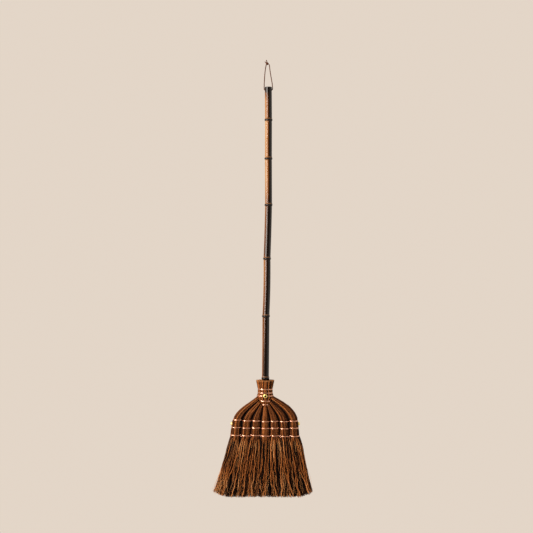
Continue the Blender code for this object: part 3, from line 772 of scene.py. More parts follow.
def buildHandle():
    joints = np.cumsum(culm["internodes"])
    collar = culm["collarDrop"]
    offsets = np.concatenate([np.arange(*steps) for steps in culm["jointRings"]])
    stations = [0.0010, 0.0020, 0.0032, *np.arange(0.008, collar + culm["tenonTaper"], 0.006)]
    stations += [joint + offset for joint in joints for offset in offsets]
    stations += [collar - 0.002, collar + culm["tenonTaper"], collar + 0.62 * culm["tenonEnd"]]
    stations = np.array(sorted(place for place in set(stations) if place < collar + culm["tenonEnd"] - 0.001))
    gap = stations[:, None] - joints
    rise = culm["swell"] * hump(gap, 0.0010, 0.0031)
    rise += 0.0007 * hump(gap, -0.0030, 0.0007) - 0.0004 * hump(gap, -0.0017, 0.0005)
    rise -= 0.0003 * hump(gap, 0.0065, 0.0025)
    inside = stations > collar - 0.0015
    radius = culm["radius"] + np.where(inside[:, None], 0, rise).sum(axis=1)
    taper = np.interp(
        stations,
        (collar + culm["tenonTaper"], collar + culm["tenonEnd"]),
        (culm["tenonRadius"], culm["tenonPoint"]),
    )
    radius = np.where(inside, taper, radius)
    angles = circle(culm["sides"])
    ripple = culm["ripple"] * (np.sin(3 * angles + 9 * stations[:, None]) + np.sin(7 * angles))
    reach = radius[:, None] + np.where(inside[:, None], 0, ripple)
    reach = np.where((stations < 0.0015)[:, None], reach - 0.0001, reach)
    across = culmAcross(stations)
    rings = np.stack(
        (
            across[:, None] + reach * np.cos(angles),
            reach * np.sin(angles),
            np.broadcast_to(handleTop - stations[:, None], reach.shape),
        ),
        axis=-1,
    )
    top = culmAcross(0.0)
    ends = []
    for share, drop in culm["cutEnd"]:
        size, height = share * culm["radius"], np.full(culm["sides"], handleTop - drop)
        ends.append(np.stack((top + size * np.cos(angles), size * np.sin(angles), height), axis=-1))
    point = np.stack(
        (
            headAcross + culm["tenonPoint"] * np.cos(angles),
            culm["tenonPoint"] * np.sin(angles),
            np.full(culm["sides"], handleTop - collar - culm["tenonEnd"]),
        ),
        axis=-1,
    )
    rings = np.concatenate((np.array(ends), rings, point[None]))
    below = np.concatenate((np.zeros(len(ends)), stations, (collar + culm["tenonEnd"],)))
    mesh = joinSkins("bambooHandle", rings)

    gap = below[:, None] - joints
    ring = np.clip(hump(gap, 0.0013, 0.0037, 4).sum(axis=1), 0, 1)
    scar = np.clip(hump(gap, -0.0030, 0.0008).sum(axis=1), 0, 1)
    ring = np.clip(ring - scar, 0, 1)
    amount = np.interp(below, *np.array(culm["amberAndLitSide"]).T)
    litSideReach = np.interp(below, *np.array(culm["litSideReach"]).T)
    # painted light: amber is paler on the culm's left, the side the key lamp lights, and fades out towards the right
    lit = np.clip((litSideReach[:, None] - np.cos(angles)) * 0.84, -0.2, 1.0)
    amberAndLitSide = np.clip(amount[:, None] * lit - 0.25 * (1 - amount[:, None]), 0, 1)
    cut = (np.arange(len(below)) < len(ends) - 1).astype(float)
    wide = np.ones(culm["sides"])
    addValues(mesh, "ring", ring[:, None] * wide)
    addValues(mesh, "scar", 0.85 * scar[:, None] * wide)
    addValues(mesh, "amberAndLitSide", amberAndLitSide)
    addValues(mesh, "cut", cut[:, None] * wide)
    cutHole(addPiece("bambooHandle", mesh, "bamboo", broomBody, "bamboo", "handle"))


def cutHole(handle):
    # the cross hole for the cord, with worn mouths
    height = handleTop - loop["holeDrop"]
    reach, mouth, hole = 0.014, culm["holeMouth"], culm["holeRadius"]
    profile = [(0, -reach), (mouth, -reach), (mouth, -0.0108), (hole, -0.0084), (hole, 0.0084), (mouth, 0.0108)]
    profile += [(mouth, reach), (0, reach)]
    cutter = bpy.data.objects.new(
        "holeCutter", turnedMesh("holeCutter", profile, 32, (loop["culmAcross"], 0, height), (1, 0, 0))
    )
    scene.collection.objects.link(cutter)
    change = handle.modifiers.new("crossHole", "BOOLEAN")
    change.object = cutter
    change.solver = "EXACT"
    bpy.context.view_layer.update()
    ready = handle.evaluated_get(bpy.context.evaluated_depsgraph_get())
    mesh = bpy.data.meshes.new_from_object(ready)
    handle.modifiers.clear()
    handle.data = mesh
    mesh.set_sharp_from_angle(angle=math.radians(40))
    bpy.data.objects.remove(cutter)


buildHandle()
print("handle done")


# Neck

neck = {
    "outline": (
        (0.0000, 0.0272, 0.0240), (0.0120, 0.0246, 0.0212), (0.0272, 0.0218, 0.0190), (0.0385, 0.0221, 0.0188),
        (0.0479, 0.0244, 0.0188), (0.0560, 0.0226, 0.0178), (0.0642, 0.0184, 0.0164), (0.0754, 0.0122, 0.0138),
        (0.0820, 0.0085, 0.0118),
    ),
    "wireDrops": (0.0272, 0.0385, 0.0479, 0.0642, 0.0754),
    "wireTurns": (2, 2, 2, 2, 2),
    "wirePitches": (0.00175, 0.00175, 0.00175, 0.00150, 0.00150),
    "wireRadius": 0.0007,
    "wireLift": 0.0005,
    "flute": 0.018,
    "cords": 40,
    "perCord": 22,
    "stubs": 1100,
    "bulge": 0.0009,
    "seed": 11,
}


def neckReach(drop):
    table = np.array(neck["outline"]).T
    return np.interp(drop, table[0], table[1]), np.interp(drop, table[0], table[2])


def neckBulge(drop):
    # fibres stand proud between the bands of wire and are drawn in under them
    held = sum(np.exp(-((drop - wire) / 0.0024) ** 2) for wire in neck["wireDrops"])
    return neck["bulge"] * (1 - 1.6 * np.clip(held, 0, 1))


def toFrame(across, depth, drop):
    return np.stack(np.broadcast_arrays(headAcross + across, depth, headTop - drop), axis=-1)


def buildNeck():
    chance = np.random.RandomState(neck["seed"])
    # inner sleeve
    sides = 64
    angles = 2 * np.pi * np.arange(sides) / sides
    drops = np.linspace(0.0012, 0.0815, 26)
    rings = []
    for drop in drops:
        wide, deep = neckReach(drop)
        rings.append(toFrame((wide - 0.0007) * np.cos(angles), (deep - 0.0007) * np.sin(angles), drop))
    bore = culm["tenonRadius"] + 0.0003
    for drop, size in ((0.0743, culm["tenonPoint"] + 0.0003), (culm["tenonTaper"], bore), (0.0012, bore)):
        rings.append(toFrame(size * np.cos(angles), size * np.sin(angles), drop))
    outer, inner = np.array(rings[: len(drops)]), np.array(rings[len(drops) :])
    rows = len(rings)
    corners = ringFaces(rows, sides)
    perRow = 4 * sides
    seam = (len(drops) - 1) * perRow
    corners = np.concatenate((corners[:seam], corners[seam + perRow :]))
    last = (rows - 1) * sides
    after = (np.arange(sides) + 1) % sides
    closing = np.stack((last + np.arange(sides), np.arange(sides), after, last + after), axis=-1).ravel()
    bottom = (len(drops) - 1) * sides + np.arange(sides)[::-1]
    floor = len(drops) * sides + np.arange(sides)
    sizes = [4] * ((len(corners) + len(closing)) // 4) + [sides, sides]
    points = np.concatenate((outer, inner)).reshape(-1, 3)
    mesh = meshFrom("collarCore", points, np.concatenate((corners, closing, bottom, floor)), sizes)
    addPiece("collarCore", mesh, "core", broomBody, "palm_fibre", "neck_collar")

    # outer fibres, gathered in cords with grooves between
    cords, each, steps = neck["cords"], neck["perCord"], 30
    centre = 2 * np.pi * (np.arange(cords) + chance.uniform(-0.28, 0.28, cords)) / cords
    cordTone = np.clip(chance.normal(0.42, 0.30, cords), 0.04, 0.95)
    front = np.argmin(np.abs(np.sin(0.5 * (centre + 0.5 * np.pi))))
    cordTone[front] = 0.80
    cordLift = chance.uniform(-0.0003, 0.0005, cords)
    which = np.repeat(np.arange(cords), each)
    count = len(which)
    offset = chance.normal(0, 0.42, count)
    phase = centre[which] + offset * np.pi / cords
    start = chance.uniform(-0.0008, 0.0016, count)
    finish = chance.uniform(0.070, 0.082, count)
    drop = start[:, None] + (finish - start)[:, None] * np.linspace(0, 1, steps)[None, :]
    wide, deep = neckReach(drop)
    lift = cordLift[which] - 0.00035 * offset**2 + chance.uniform(-0.0001, 0.0003, count)
    lift = lift[:, None] + neckBulge(drop)
    flutter = chance.uniform(0, 6, count)[:, None]
    sway = 0.035 * np.sin(60 * drop + 7.0 * which[:, None]) + 0.012 * np.sin(150 * drop + flutter)
    around = phase[:, None] + sway
    paths = toFrame((wide + lift) * np.cos(around), (deep + lift) * np.sin(around), drop)
    radii = chance.uniform(0.00020, 0.00045, count)[:, None] * np.ones(steps)[None, :]
    # painted shade: strands further from their cord's middle, down in the grooves, are darker
    tones = np.clip(cordTone[which] - 0.10 * np.abs(offset) + chance.uniform(-0.12, 0.12, count), 0, 1)
    mesh = strandMesh("collarFibres", [(paths, radii, tones)])
    addPiece("collarFibres", mesh, "collar", broomBody, "palm_fibre")

    # cut ends packed round the culm
    count = neck["stubs"]
    angle = chance.uniform(0, 2 * np.pi, count)
    share = np.sqrt(chance.uniform(0.0, 1.0, count))
    wide, deep = neckReach(0.0)
    near = culm["radius"] + 0.0006
    spotX = np.cos(angle) * (near + share * (wide - 0.0005 - near))
    spotY = np.sin(angle) * (near + share * (deep - 0.0005 - near))
    top = chance.uniform(-0.0009, 0.0010, count)
    drop = top[:, None] + np.linspace(0, 0.008, 4)[None, :]
    lean = chance.uniform(-0.04, 0.04, (2, count, 1)) * (drop - 0.008)[None]
    paths = toFrame(spotX[:, None] + lean[0], spotY[:, None] + lean[1], drop)
    radii = np.repeat(chance.uniform(0.0003, 0.0006, count)[:, None], 4, axis=1)
    tones = chance.uniform(0.15, 0.75, count)
    mesh = strandMesh("collarCutEnds", [(paths, radii, tones)], 5)
    addPiece("collarCutEnds", mesh, "collar", broomBody, "palm_fibre")


buildNeck()
print("neck done")


# Fibre bundles

fan = {
    "pairs": 3,
    "rootAcross": (0.0, 0.0102, 0.0157, 0.0205),
    "rootDrop": (0.0760, 0.0752, 0.0662, 0.0545),
    "rootDip": (90, 67, 49, 31),
    "rootHalfWidth": (0.0080, 0.0038, 0.0042, 0.0058),
    "rootHalfDepth": 0.0115,
    "shoulderDrop": 0.1330,
    "shoulderPitch": 0.0280,
    "pitchGrowth": 0.0006,
    "shoulderHalfWidth": 0.0100,
    "widthGrowth": 0.0010,
    "shoulderHalfDepth": 0.0145,
    "skirtDrop": 0.1785,
    "skirtPitch": 0.0308,
    "skirtHalfWidth": 0.0141,
    "skirtHalfDepth": 0.0150,
    "roundness": 0.95,
    "overlap": 0.0003,
    # how far the head's left and right flanks swell out at the lowest stitching, and slump at the shoulders
    "outerSwell": (0.0030, 0.0006),
    "outerSlump": (0.0027, 0.0),
    "cleft": (0.62, 0.92),
    # each row of stitching: its drop in the middle, and how that changes across the fan
    "rows": ((0.1273, 0.0006, -0.00024), (0.1488, 0.0004, -0.00008), (0.1724, 0.0005, 0.00008)),
    "pinch": 0.075,
    "endDrop": 0.1960,
    "cords": 30,
    "perCord": 17,
    "loose": 110,
    "crossing": 125,
    "ribbing": (90, 24, 10, 0, 10, 16, 40),
    "ridgeStrands": 15,
    # each bundle's raised cords, as places across its front from -1 to 1
    "ridges": (
        (-0.20, 0.45), (-0.42, 0.35), (-0.45, 0.20), (-0.30, 0.30), (-0.55, 0.25), (-0.45, 0.10), (-0.35, 0.40),
    ),
    "seed": 23,
}
places = range(-fan["pairs"], fan["pairs"] + 1)


def rowDrop(row, place):
    middle, tilt, bow = fan["rows"][row]
    return middle + tilt * place + bow * place * place


def shoulderAcross(place):
    return place * (fan["shoulderPitch"] + fan["pitchGrowth"] * abs(place))


def shoulderWidth(place):
    return fan["shoulderHalfWidth"] + fan["widthGrowth"] * abs(place)


def bundleSpine(place):
    # a table down the bundle: share, across, drop, sideways direction, half width and half depth
    out, side = abs(place), math.copysign(1, place)
    dip = math.radians(fan["rootDip"][out])
    start = np.array((side * fan["rootAcross"][out], -fan["rootDrop"][out]))
    heading = np.array((side * math.cos(dip) if place else 0.0, -math.sin(dip)))
    end = np.array((shoulderAcross(place), -fan["shoulderDrop"]))
    span = np.linalg.norm(end - start)
    pull, settle = start + heading * 0.42 * span, end + np.array((0, 0.32 * span))
    t = np.linspace(0, 1, 41)[:, None]
    s = 1 - t
    middle = s**3 * start + 3 * s * s * t * pull + 3 * s * t * t * settle + t**3 * end
    way = s * s * (pull - start) + 2 * s * t * (settle - pull) + t * t * (end - settle)
    slump = fan["outerSlump"][place > 0] * np.sin(np.pi * t[:, 0] ** 0.75) * (out == fan["pairs"])
    inward = np.stack((side * way[:, 1], -side * way[:, 0]), axis=1)
    middle = middle + slump[:, None] * inward / np.linalg.norm(way, axis=1, keepdims=True)
    halfWidth = mixed(fan["rootHalfWidth"][out], shoulderWidth(place), t[:, 0] ** 0.9)
    halfDepth = mixed(fan["rootHalfDepth"], fan["shoulderHalfDepth"], t[:, 0])
    drops = np.linspace(fan["shoulderDrop"], fan["endDrop"], 21)[1:]
    share = (drops - fan["shoulderDrop"]) / (fan["skirtDrop"] - fan["shoulderDrop"])
    lower = mixed(shoulderAcross(place), place * fan["skirtPitch"], share)
    middle = np.concatenate((middle, np.stack((lower, -drops), axis=1)))
    way = unit(np.concatenate((way, np.repeat([[0.0, -1.0]], len(drops), axis=0))))
    halfWidth = np.append(halfWidth, mixed(shoulderWidth(place), fan["skirtHalfWidth"], share))
    halfDepth = np.append(halfDepth, mixed(fan["shoulderHalfDepth"], fan["skirtHalfDepth"], share))
    walked = walkedAlong(middle)
    held = sum(hump(-middle[:, 1], rowDrop(row, place), 0.0030) for row in range(len(fan["rows"])))
    return {
        "share": walked / walked[-1],
        "across": middle[:, 0],
        "drop": -middle[:, 1],
        "sideX": -way[:, 1],
        "sideDrop": -way[:, 0],
        "halfWidth": halfWidth,
        "halfDepth": halfDepth * (1 - fan["pinch"] * held),
        "held": held,
        "slump": np.append(slump, np.zeros(len(drops))),
    }


def placeSpines():
    # each bundle's flanks swell until they meet its neighbours halfway
    made = {place: bundleSpine(place) for place in places}
    steps = np.linspace(0, 1, 600)
    for place, spine in made.items():
        own = np.stack((spine["across"], spine["drop"]), axis=1)
        for side, name in ((-1, "leftWidth"), (1, "rightWidth")):
            beside = made.get(place + side)
            if beside is None:
                swell = fan["outerSwell"][side > 0] * climb(spine["drop"], 0.118, 0.050)
                drawn = spine["halfWidth"] * (1 - 0.4 * fan["pinch"] * spine["held"])
                spine[name] = drawn + swell - spine["slump"]
                continue
            line = [np.interp(steps, beside["share"], beside[key]) for key in ("across", "drop")]
            apart = np.linalg.norm(own[:, None] - np.stack(line, axis=1), axis=2).min(axis=1)
            spine[name] = 0.5 * apart + fan["overlap"]
    return made


spines = placeSpines()


def onBundle(spine, share, around, lift):
    # points on a bundle's skin; around is an angle with the front at -90 degrees
    def read(name):
        return np.interp(share, spine["share"], spine[name])

    power = fan["roundness"]
    u = np.sign(np.cos(around)) * np.abs(np.cos(around)) ** power
    v = np.sign(np.sin(around)) * np.abs(np.sin(around)) ** power
    sideX, sideDrop = read("sideX"), read("sideDrop")
    size = np.hypot(sideX, sideDrop)
    held = np.clip(read("held"), 0, 1)
    lift = lift * (1 - held) - 0.0002 * held
    out = u * (np.where(u > 0, read("rightWidth"), read("leftWidth")) + lift)
    across, drop = read("across") + out * sideX / size, read("drop") + out * sideDrop / size
    return toFrame(across, v * (read("halfDepth") + lift), drop)


def flankShade(place, around, drop):
    # how much of its tone a strand keeps: next to none in a cleft between bundles, which closes lower down
    near, far = fan["cleft"]
    closed = 0.22 * climb(drop, 0.142, 0.030)
    depth = np.clip((np.abs(np.sin(around)) ** fan["roundness"] - near + closed) / (far - near), 0, 1)
    outer = np.cos(around) * place > 0
    return np.where(outer & (abs(place) == fan["pairs"]), 1.0, depth**0.8)


def buildBundle(place):
    number = place + fan["pairs"] + 1
    chance = np.random.RandomState(fan["seed"] + number)
    spine = spines[place]
    shares = np.linspace(0.0, 0.91, 44)[:, None]
    mesh = joinSkins(f"bundleCore{number}", onBundle(spine, shares, circle(40), -0.0009 + 0 * shares))
    addPiece(f"bundleCore{number}", mesh, "core", broomBody, "palm_fibre", f"bundle_{number}")
    groups = []

    def lay(steps, first, last, around, turn, lift, size, tone, sway):
        # strands from share first to share last, which sink into the bundle at their lower ends
        count = len(around)
        line = np.linspace(0, 1, steps)[None, :]
        start, finish = first[:, None], last[:, None]
        share = start + (finish - start) * line
        sunk = 0.0012 * np.clip((share - 0.90) / 0.10, 0, 1)
        angle = around[:, None] + turn[:, None] * line + sway(share)
        own = 0.00012 * np.sin(55 * share + chance.uniform(0, 6, count)[:, None])
        paths = onBundle(spine, share, angle, lift[:, None] + own - sunk)
        drop = np.interp(share, spine["share"], spine["drop"])
        shades = np.clip(tone[:, None] * flankShade(place, angle, drop), 0, 1)
        groups.append((paths, size[:, None] * (1 - 0.35 * line**3), shades))

    def swayOf(count, size, low=6, high=16):
        rate, phase = chance.uniform(low, high, count)[:, None], chance.uniform(0, 6.28, count)[:, None]
        return lambda share: size * np.sin(rate * share + phase)

    # lengthwise cords of fibre with grooves between
    cords, each = fan["cords"], fan["perCord"]
    which = np.repeat(np.arange(cords), each)
    count = len(which)
    centre = 2 * np.pi * (np.arange(cords) + chance.uniform(-0.3, 0.3, cords)) / cords
    cordTone = np.clip(chance.normal(0.40, 0.20, cords), 0.06, 0.85)
    cordLift = chance.uniform(-0.0004, 0.0006, cords)
    rate, phase = chance.uniform(6, 14, cords)[which][:, None], chance.uniform(0, 6.28, cords)[which][:, None]
    offset = chance.normal(0, 0.45, count)
    around = centre[which] + offset * np.pi / cords
    # painted shade: strands further from their cord's middle, down in the grooves, are darker
    tone = cordTone[which] - 0.12 * np.abs(offset) + chance.uniform(-0.12, 0.12, count)
    lay(
        26, chance.uniform(0.0, 0.02, count), chance.uniform(0.88, 0.97, count), around, np.zeros(count),
        cordLift[which] - 0.0003 * offset**2 + chance.uniform(-0.0001, 0.0002, count),
        chance.uniform(0.00018, 0.00040, count), tone, lambda share: 0.035 * np.sin(rate * share + phase),
    )

    # loose fibres over them
    count = fan["loose"]
    around = chance.uniform(0, 2 * np.pi, count)
    lay(
        26, chance.uniform(0.0, 0.5, count), chance.uniform(0.6, 1.0, count), around,
        chance.normal(0, 0.16, count), chance.uniform(0.0004, 0.0011, count), chance.uniform(0.00015, 0.00028, count),
        chance.uniform(0.35, 0.75, count), swayOf(count, 0.05),
    )

    # the sheath's open weave, wound both ways
    for way in (-1, 1):
        count = fan["crossing"]
        lay(
            24, chance.uniform(0.20, 0.60, count), chance.uniform(0.66, 0.98, count),
            chance.uniform(0, 2 * np.pi, count), way * chance.uniform(0.9, 2.0, count), chance.uniform(0.0002, 0.0006, count),
            chance.uniform(0.00014, 0.00024, count), chance.uniform(0.08, 0.42, count), swayOf(count, 0.03),
        )
    count = fan["ribbing"][number - 1]
    if count:
        first = chance.uniform(0.06, 0.48, count)
        lay(
            9, first, first + 0.012, chance.uniform(0, 2 * np.pi, count), chance.uniform(1.0, 2.0, count),
            chance.uniform(0.0004, 0.0008, count), chance.uniform(0.00014, 0.00024, count),
            chance.uniform(0.25, 0.65, count), swayOf(count, 0.0),
        )

    # raised pale cords down the front and back; the first of each bundle, on its left, is painted paler as painted
    # light
    for face in (-1, 1):
        for order, spot in enumerate(fan["ridges"][number - 1]):
            count = fan["ridgeStrands"]
            lean = math.acos(math.copysign(abs(spot) ** (1 / fan["roundness"]), spot))
            spread = chance.normal(0, 0.045, count)
            lay(
                26, chance.uniform(0.0, 0.02, count), chance.uniform(0.92, 1.0, count), face * lean + spread,
                np.zeros(count), 0.0012 - 0.12 * spread**2 + chance.uniform(-0.0002, 0.0003, count),
                chance.uniform(0.00026, 0.00046, count),
                (0.74 if order == 0 else 0.56) + chance.uniform(-0.16, 0.16, count), swayOf(count, 0.012),
            )
    mesh = strandMesh(f"bundleFibres{number}", groups)
    addPiece(f"bundleFibres{number}", mesh, "sheath", broomBody, "palm_fibre")


for place in places:
    buildBundle(place)
print("bundles done")


# Bristles

skirt = {
    "startDrop": 0.1700,
    "tipDrop": 0.3623,
    "tipPitch": 0.0436,
    "tipHalfWidth": 0.0216,
    "tipHalfDepth": 0.0230,
    "tipShift": -0.0053,
    "cornerStart": 0.112,
    "cornerLift": 0.0145,
    "cornerFlare": (0.0060, 0.0020),  # on the left and on the right
    "tipUneven": 0.0036,
    "mingle": 0.0022,
    "tucked": 0.22,
    "tuckShare": 0.09,
    "openShare": 0.22,  # how far down the dark gaps between the bundles close
    "rightBulge": 0.0026,
    # how far the head reaches at the lowest stitching and at the tips, and how far it flares there
    "wideLeft": (0.1155, 0.1585, 0.0050),
    "wideRight": (0.1155, 0.1535, 0.0),
    "deep": (0.0160, 0.0270, 0.0),
    "waves": ((8.0, 0.0017), (22.0, 0.0014), (47.0, 0.0006)),
    "seed": 71,
}

# kinds of fibre in each skirt, from the inside out; the inner two are near black, painted shade deep in the skirt
fibreKinds = (
    {
        "locks": 50, "each": 16, "steps": 13, "depth": (0.0, 0.72), "gather": 0.07, "splay": 0.0040,
        "radius": (0.00024, 0.00044), "tone": (0.0, 0.02), "wave": 0.6, "late": 0.9, "inset": 0.0060,
    },
    {
        "locks": 26, "each": 16, "steps": 17, "depth": (0.70, 0.86), "gather": 0.06, "splay": 0.0050,
        "radius": (0.00020, 0.00036), "tone": (0.0, 0.03), "wave": 0.8, "late": 0.9, "inset": 0.0050,
    },
    {
        "locks": 10, "each": 12, "steps": 24, "depth": (0.82, 0.92), "gather": 0.040, "splay": 0.0090,
        "radius": (0.00016, 0.00030), "tone": (0.21, 0.10), "wave": 1.0, "late": 0.9, "inset": 0.0025,
    },
    {
        "locks": 10, "each": 22, "steps": 30, "depth": (0.93, 1.03), "gather": 0.018, "splay": 0.0120,
        "radius": (0.00022, 0.00040), "tone": (0.89, 0.12), "wave": 1.3, "late": 0.9, "inset": 0.0,
    },
    {
        "locks": 6, "each": 1, "steps": 32, "depth": (0.92, 1.04), "gather": 0.0, "splay": 0.0150,
        "radius": (0.00036, 0.00060), "tone": (0.96, 0.10), "wave": 1.4, "late": 0.9, "inset": 0.0,
    },
    {
        "locks": 14, "each": 1, "steps": 32, "depth": (0.95, 1.06), "gather": 0.0, "splay": 0.0260,
        "radius": (0.00028, 0.00046), "tone": (1.04, 0.08), "wave": 2.4, "late": 1.2, "inset": 0.0,
    },
    # curls at the head's lower left corner, painted dark as shade above the lower part of the skirt
    {
        "only": -3, "locks": 110, "each": 1, "steps": 40, "depth": (0.80, 1.06), "gather": 0.0, "splay": 0.0100,
        "radius": (0.00030, 0.00050), "tone": (1.08, 0.05), "wave": 2.8, "late": 2.4, "inset": -0.0005,
        "span": (-1.0, 0.1), "unshadedFrom": 0.45,
    },
)


def bristlePaths(place, u, v, t, chance, splay, wander, inset):
    # strands from the bundle's section down to the sweeping edge
    count, root = len(u), spines[place]
    share = np.interp(skirt["startDrop"], root["drop"], root["share"])
    middle, left, right, deep = (
        np.interp(share, root["share"], root[key]) for key in ("across", "leftWidth", "rightWidth", "halfDepth")
    )
    outer = np.where(u > 0, place == fan["pairs"], place == -fan["pairs"])
    width = np.where(u > 0, right, left) - 0.0004 + np.where(outer, 0, skirt["mingle"])
    # each skirt starts round and opens out flat against its neighbours
    opened = np.clip(t / skirt["openShare"], 0, 1) * np.where(outer, 0.5, 1)[:, None]
    across = u * np.sqrt(np.clip(1 - 0.5 * v * v, 0, 1))
    across = across[:, None] + (1.1 * u - across)[:, None] * opened
    reach = width[:, None] + (skirt["tipHalfWidth"] - width)[:, None] * t
    endX = skirt["tipShift"] + place * skirt["tipPitch"]
    x = middle + (endX - middle) * t + reach * across
    hollow = (1 - np.sqrt(np.clip(1 - 0.5 * u * u, 0, 1)))[:, None] * (1 - opened) + 0.06 * (u * u)[:, None] * opened
    y = ((deep - 0.0002) + (skirt["tipHalfDepth"] - deep) * t) * v[:, None] * (1 - hollow)
    edge = fan["pairs"] * skirt["tipPitch"] + skirt["tipHalfWidth"]
    away = x[:, -1] - skirt["tipShift"]
    splay = np.where(splay * away > 0, splay * np.clip((edge - np.abs(away)) / 0.03, 0.25, 1), splay)
    late = np.clip((t - 0.25) / 0.75, 0, 1)
    flank = (outer * np.abs(u) ** 3)[:, None]
    x = x + splay[:, None] * late**1.5 - np.sign(place) * inset * flank * late**0.7
    x = x + skirt["rightBulge"] * (place > 0) * flank * np.clip(t / 0.12, 0, 1) * (1 - 0.2 * t)
    x = x + np.sign(place) * skirt["cornerFlare"][place > 0] * flank * t**5
    y = y + wander[:, None] * late**1.4
    y = y * (1 - skirt["tucked"] * np.clip(1 - t / skirt["tuckShare"], 0, 1))
    past = np.clip(np.abs(x[:, -1] - skirt["tipShift"]) - skirt["cornerStart"], 0, None)
    lift = skirt["cornerLift"] * (past / (edge - skirt["cornerStart"])) ** 1.4
    tip = skirt["tipDrop"] - lift - chance.uniform(0, 1, count) ** 2 * skirt["tipUneven"]
    drop = skirt["startDrop"] + (tip[:, None] - skirt["startDrop"]) * t
    return x, y, drop


def heldIn(reach, t, way):
    # a strand that strays outside the head's own form is drawn most of the way back to it
    start, end, flare = skirt[way]
    most = start + (end - start) * t + flare * t**5
    return np.sign(reach) * np.where(np.abs(reach) > most, most + 0.15 * (np.abs(reach) - most), np.abs(reach))


def buildBristles(place):
    number = place + fan["pairs"] + 1
    chance = np.random.RandomState(skirt["seed"] + number)
    groups = []
    for kind in fibreKinds:
        if kind.get("only", place) != place:
            continue
        locks = kind["locks"]
        which = np.repeat(np.arange(locks), kind["each"])
        count = len(which)
        t = np.linspace(0, 1, kind["steps"])[None, :]
        # locks alternate between front and back, evenly spread across each with some scatter
        first, last = kind.get("span", (-1.0, 1.0))
        spread = first + (last - first) * (np.arange(locks) // 2 + 0.5 + chance.uniform(-0.42, 0.42, locks)) / (locks // 2)
        u = spread[which] + chance.normal(0, 1, count) * kind["gather"]
        depth = np.where(np.arange(locks) % 2 == 0, -1, 1) * chance.uniform(*kind["depth"], locks)
        v = depth[which] + chance.normal(0, 1, count) * kind["gather"]
        splay = chance.normal(0, kind["splay"], locks)[which] + chance.normal(0, 0.0006, count)
        wander = chance.normal(0, 0.0030, locks)[which] + chance.normal(0, 0.0005, count)
        # a third of the locks are painted dark, as shade, down to a random point, as if they came out from under the
        # others there
        shadedAtTop = chance.uniform(0, 1, locks) < 0.35
        shadedDownTo = np.where(shadedAtTop, chance.uniform(0.08, 0.5, locks), kind.get("unshadedFrom", -0.2))[which]
        u, v = np.clip(u, -1, 1), np.clip(v, -1.08, 1.08)
        x, y, drop = bristlePaths(place, u, v, t, chance, splay, wander, kind["inset"])
        # the head's two outer flanks wave less and are lit right round
        flank = np.clip((u * np.sign(place) - 0.62) / 0.3, 0, 1) if abs(place) == fan["pairs"] else np.zeros(count)
        for rate, size in skirt["waves"]:
            pace, phase = chance.uniform(0.6, 1.35, locks)[which], chance.uniform(0, 6.28, locks)[which]
            phase = phase + chance.uniform(-0.22, 0.22, count)
            angle = (rate * pace)[:, None] * t
            grown = kind["wave"] * size * (1 - 0.5 * flank[:, None]) * t ** kind["late"]
            x = x + grown * np.sin(angle + phase[:, None])
            y = y + 0.7 * grown * np.sin(0.83 * angle + 2.1 * phase[:, None])
        x = heldIn(x - skirt["tipShift"] * t, t, "wideLeft" if place < 0 else "wideRight") + skirt["tipShift"] * t
        y = heldIn(y, t, "deep")
        tone = chance.normal(*kind["tone"], locks)[which] + chance.normal(0, 0.07, count)
        reach = fan["skirtHalfDepth"] + (skirt["tipHalfDepth"] - fan["skirtHalfDepth"]) * t
        shade = np.clip((np.abs(y) / reach - 0.40) / 0.35, 0.02, 1)
        tone = np.maximum(tone, flank * chance.uniform(0.10, 0.80, count))
        shade = np.maximum(shade, flank[:, None]) * (0.72 + 0.28 * np.clip(t / 0.16, 0, 1))
        shade = shade * (0.05 + 0.95 * np.clip((t - shadedDownTo[:, None]) / 0.2, 0, 1))
        radii = chance.uniform(*kind["radius"], count)[:, None] * (1 - 0.5 * t**2)
        tone = tone[:, None] * shade * (0.96 - 0.20 * np.sin(np.pi * t) ** 4) + 0.08 * np.clip((t - 0.9) / 0.1, 0, 1)
        groups.append((toFrame(x, y, drop), radii, np.clip(tone, 0.01, 1)))
    mesh = strandMesh(f"bristleStrands{number}", groups)
    addPiece(f"bristleStrands{number}", mesh, "bristle", broomBody, "palm_bristle", f"bristles_{number}")


for place in places:
    buildBristles(place)
print("bristles done")


# Copper wire

def buildNeckWire(row):
    drop, turns = neck["wireDrops"][row], neck["wireTurns"][row]
    wide, deep = neckReach(drop)
    off = neck["wireRadius"] + neck["wireLift"]
    reachX, reachY = wide * (1 + neck["flute"]) + off, deep * (1 + neck["flute"]) + off
    share = np.linspace(0, turns, 72 * turns + 1)
    angle = 0.75 * np.pi + 2 * np.pi * share
    fall = neck["wirePitches"][row] * (share - 0.5 * turns)
    x = reachX * np.cos(angle)
    passing = pinHead["pinRadius"] + neck["wireRadius"] + 0.0003
    if abs(drop - pinHead["drop"]) < passing:
        near = np.exp(-((x / (2.6 * pinHead["pinRadius"])) ** 2))
        fall = np.copysign(np.abs(fall) + near * np.maximum(0, passing - np.abs(fall)), share - 0.5 * turns)
    line = toFrame(x, reachY * np.sin(angle), drop + fall)
    name = f"neckWire{row + 1}"
    mesh = joinSkins(name, sweepTube(line, neck["wireRadius"]))
    addPiece(name, mesh, "copper", broomBody, "copper", f"neck_wire_{row + 1}")


stitch = {
    "off": 0.0009,
    "apart": 0.00144,
    "frontLevel": 0.0004,
    "cleftLevel": 0.0015,
    "reachDegrees": (66, 66, 50),
    "bridge": (0, 0, 0.62),
    "bridgeLevel": 0.0016,
}


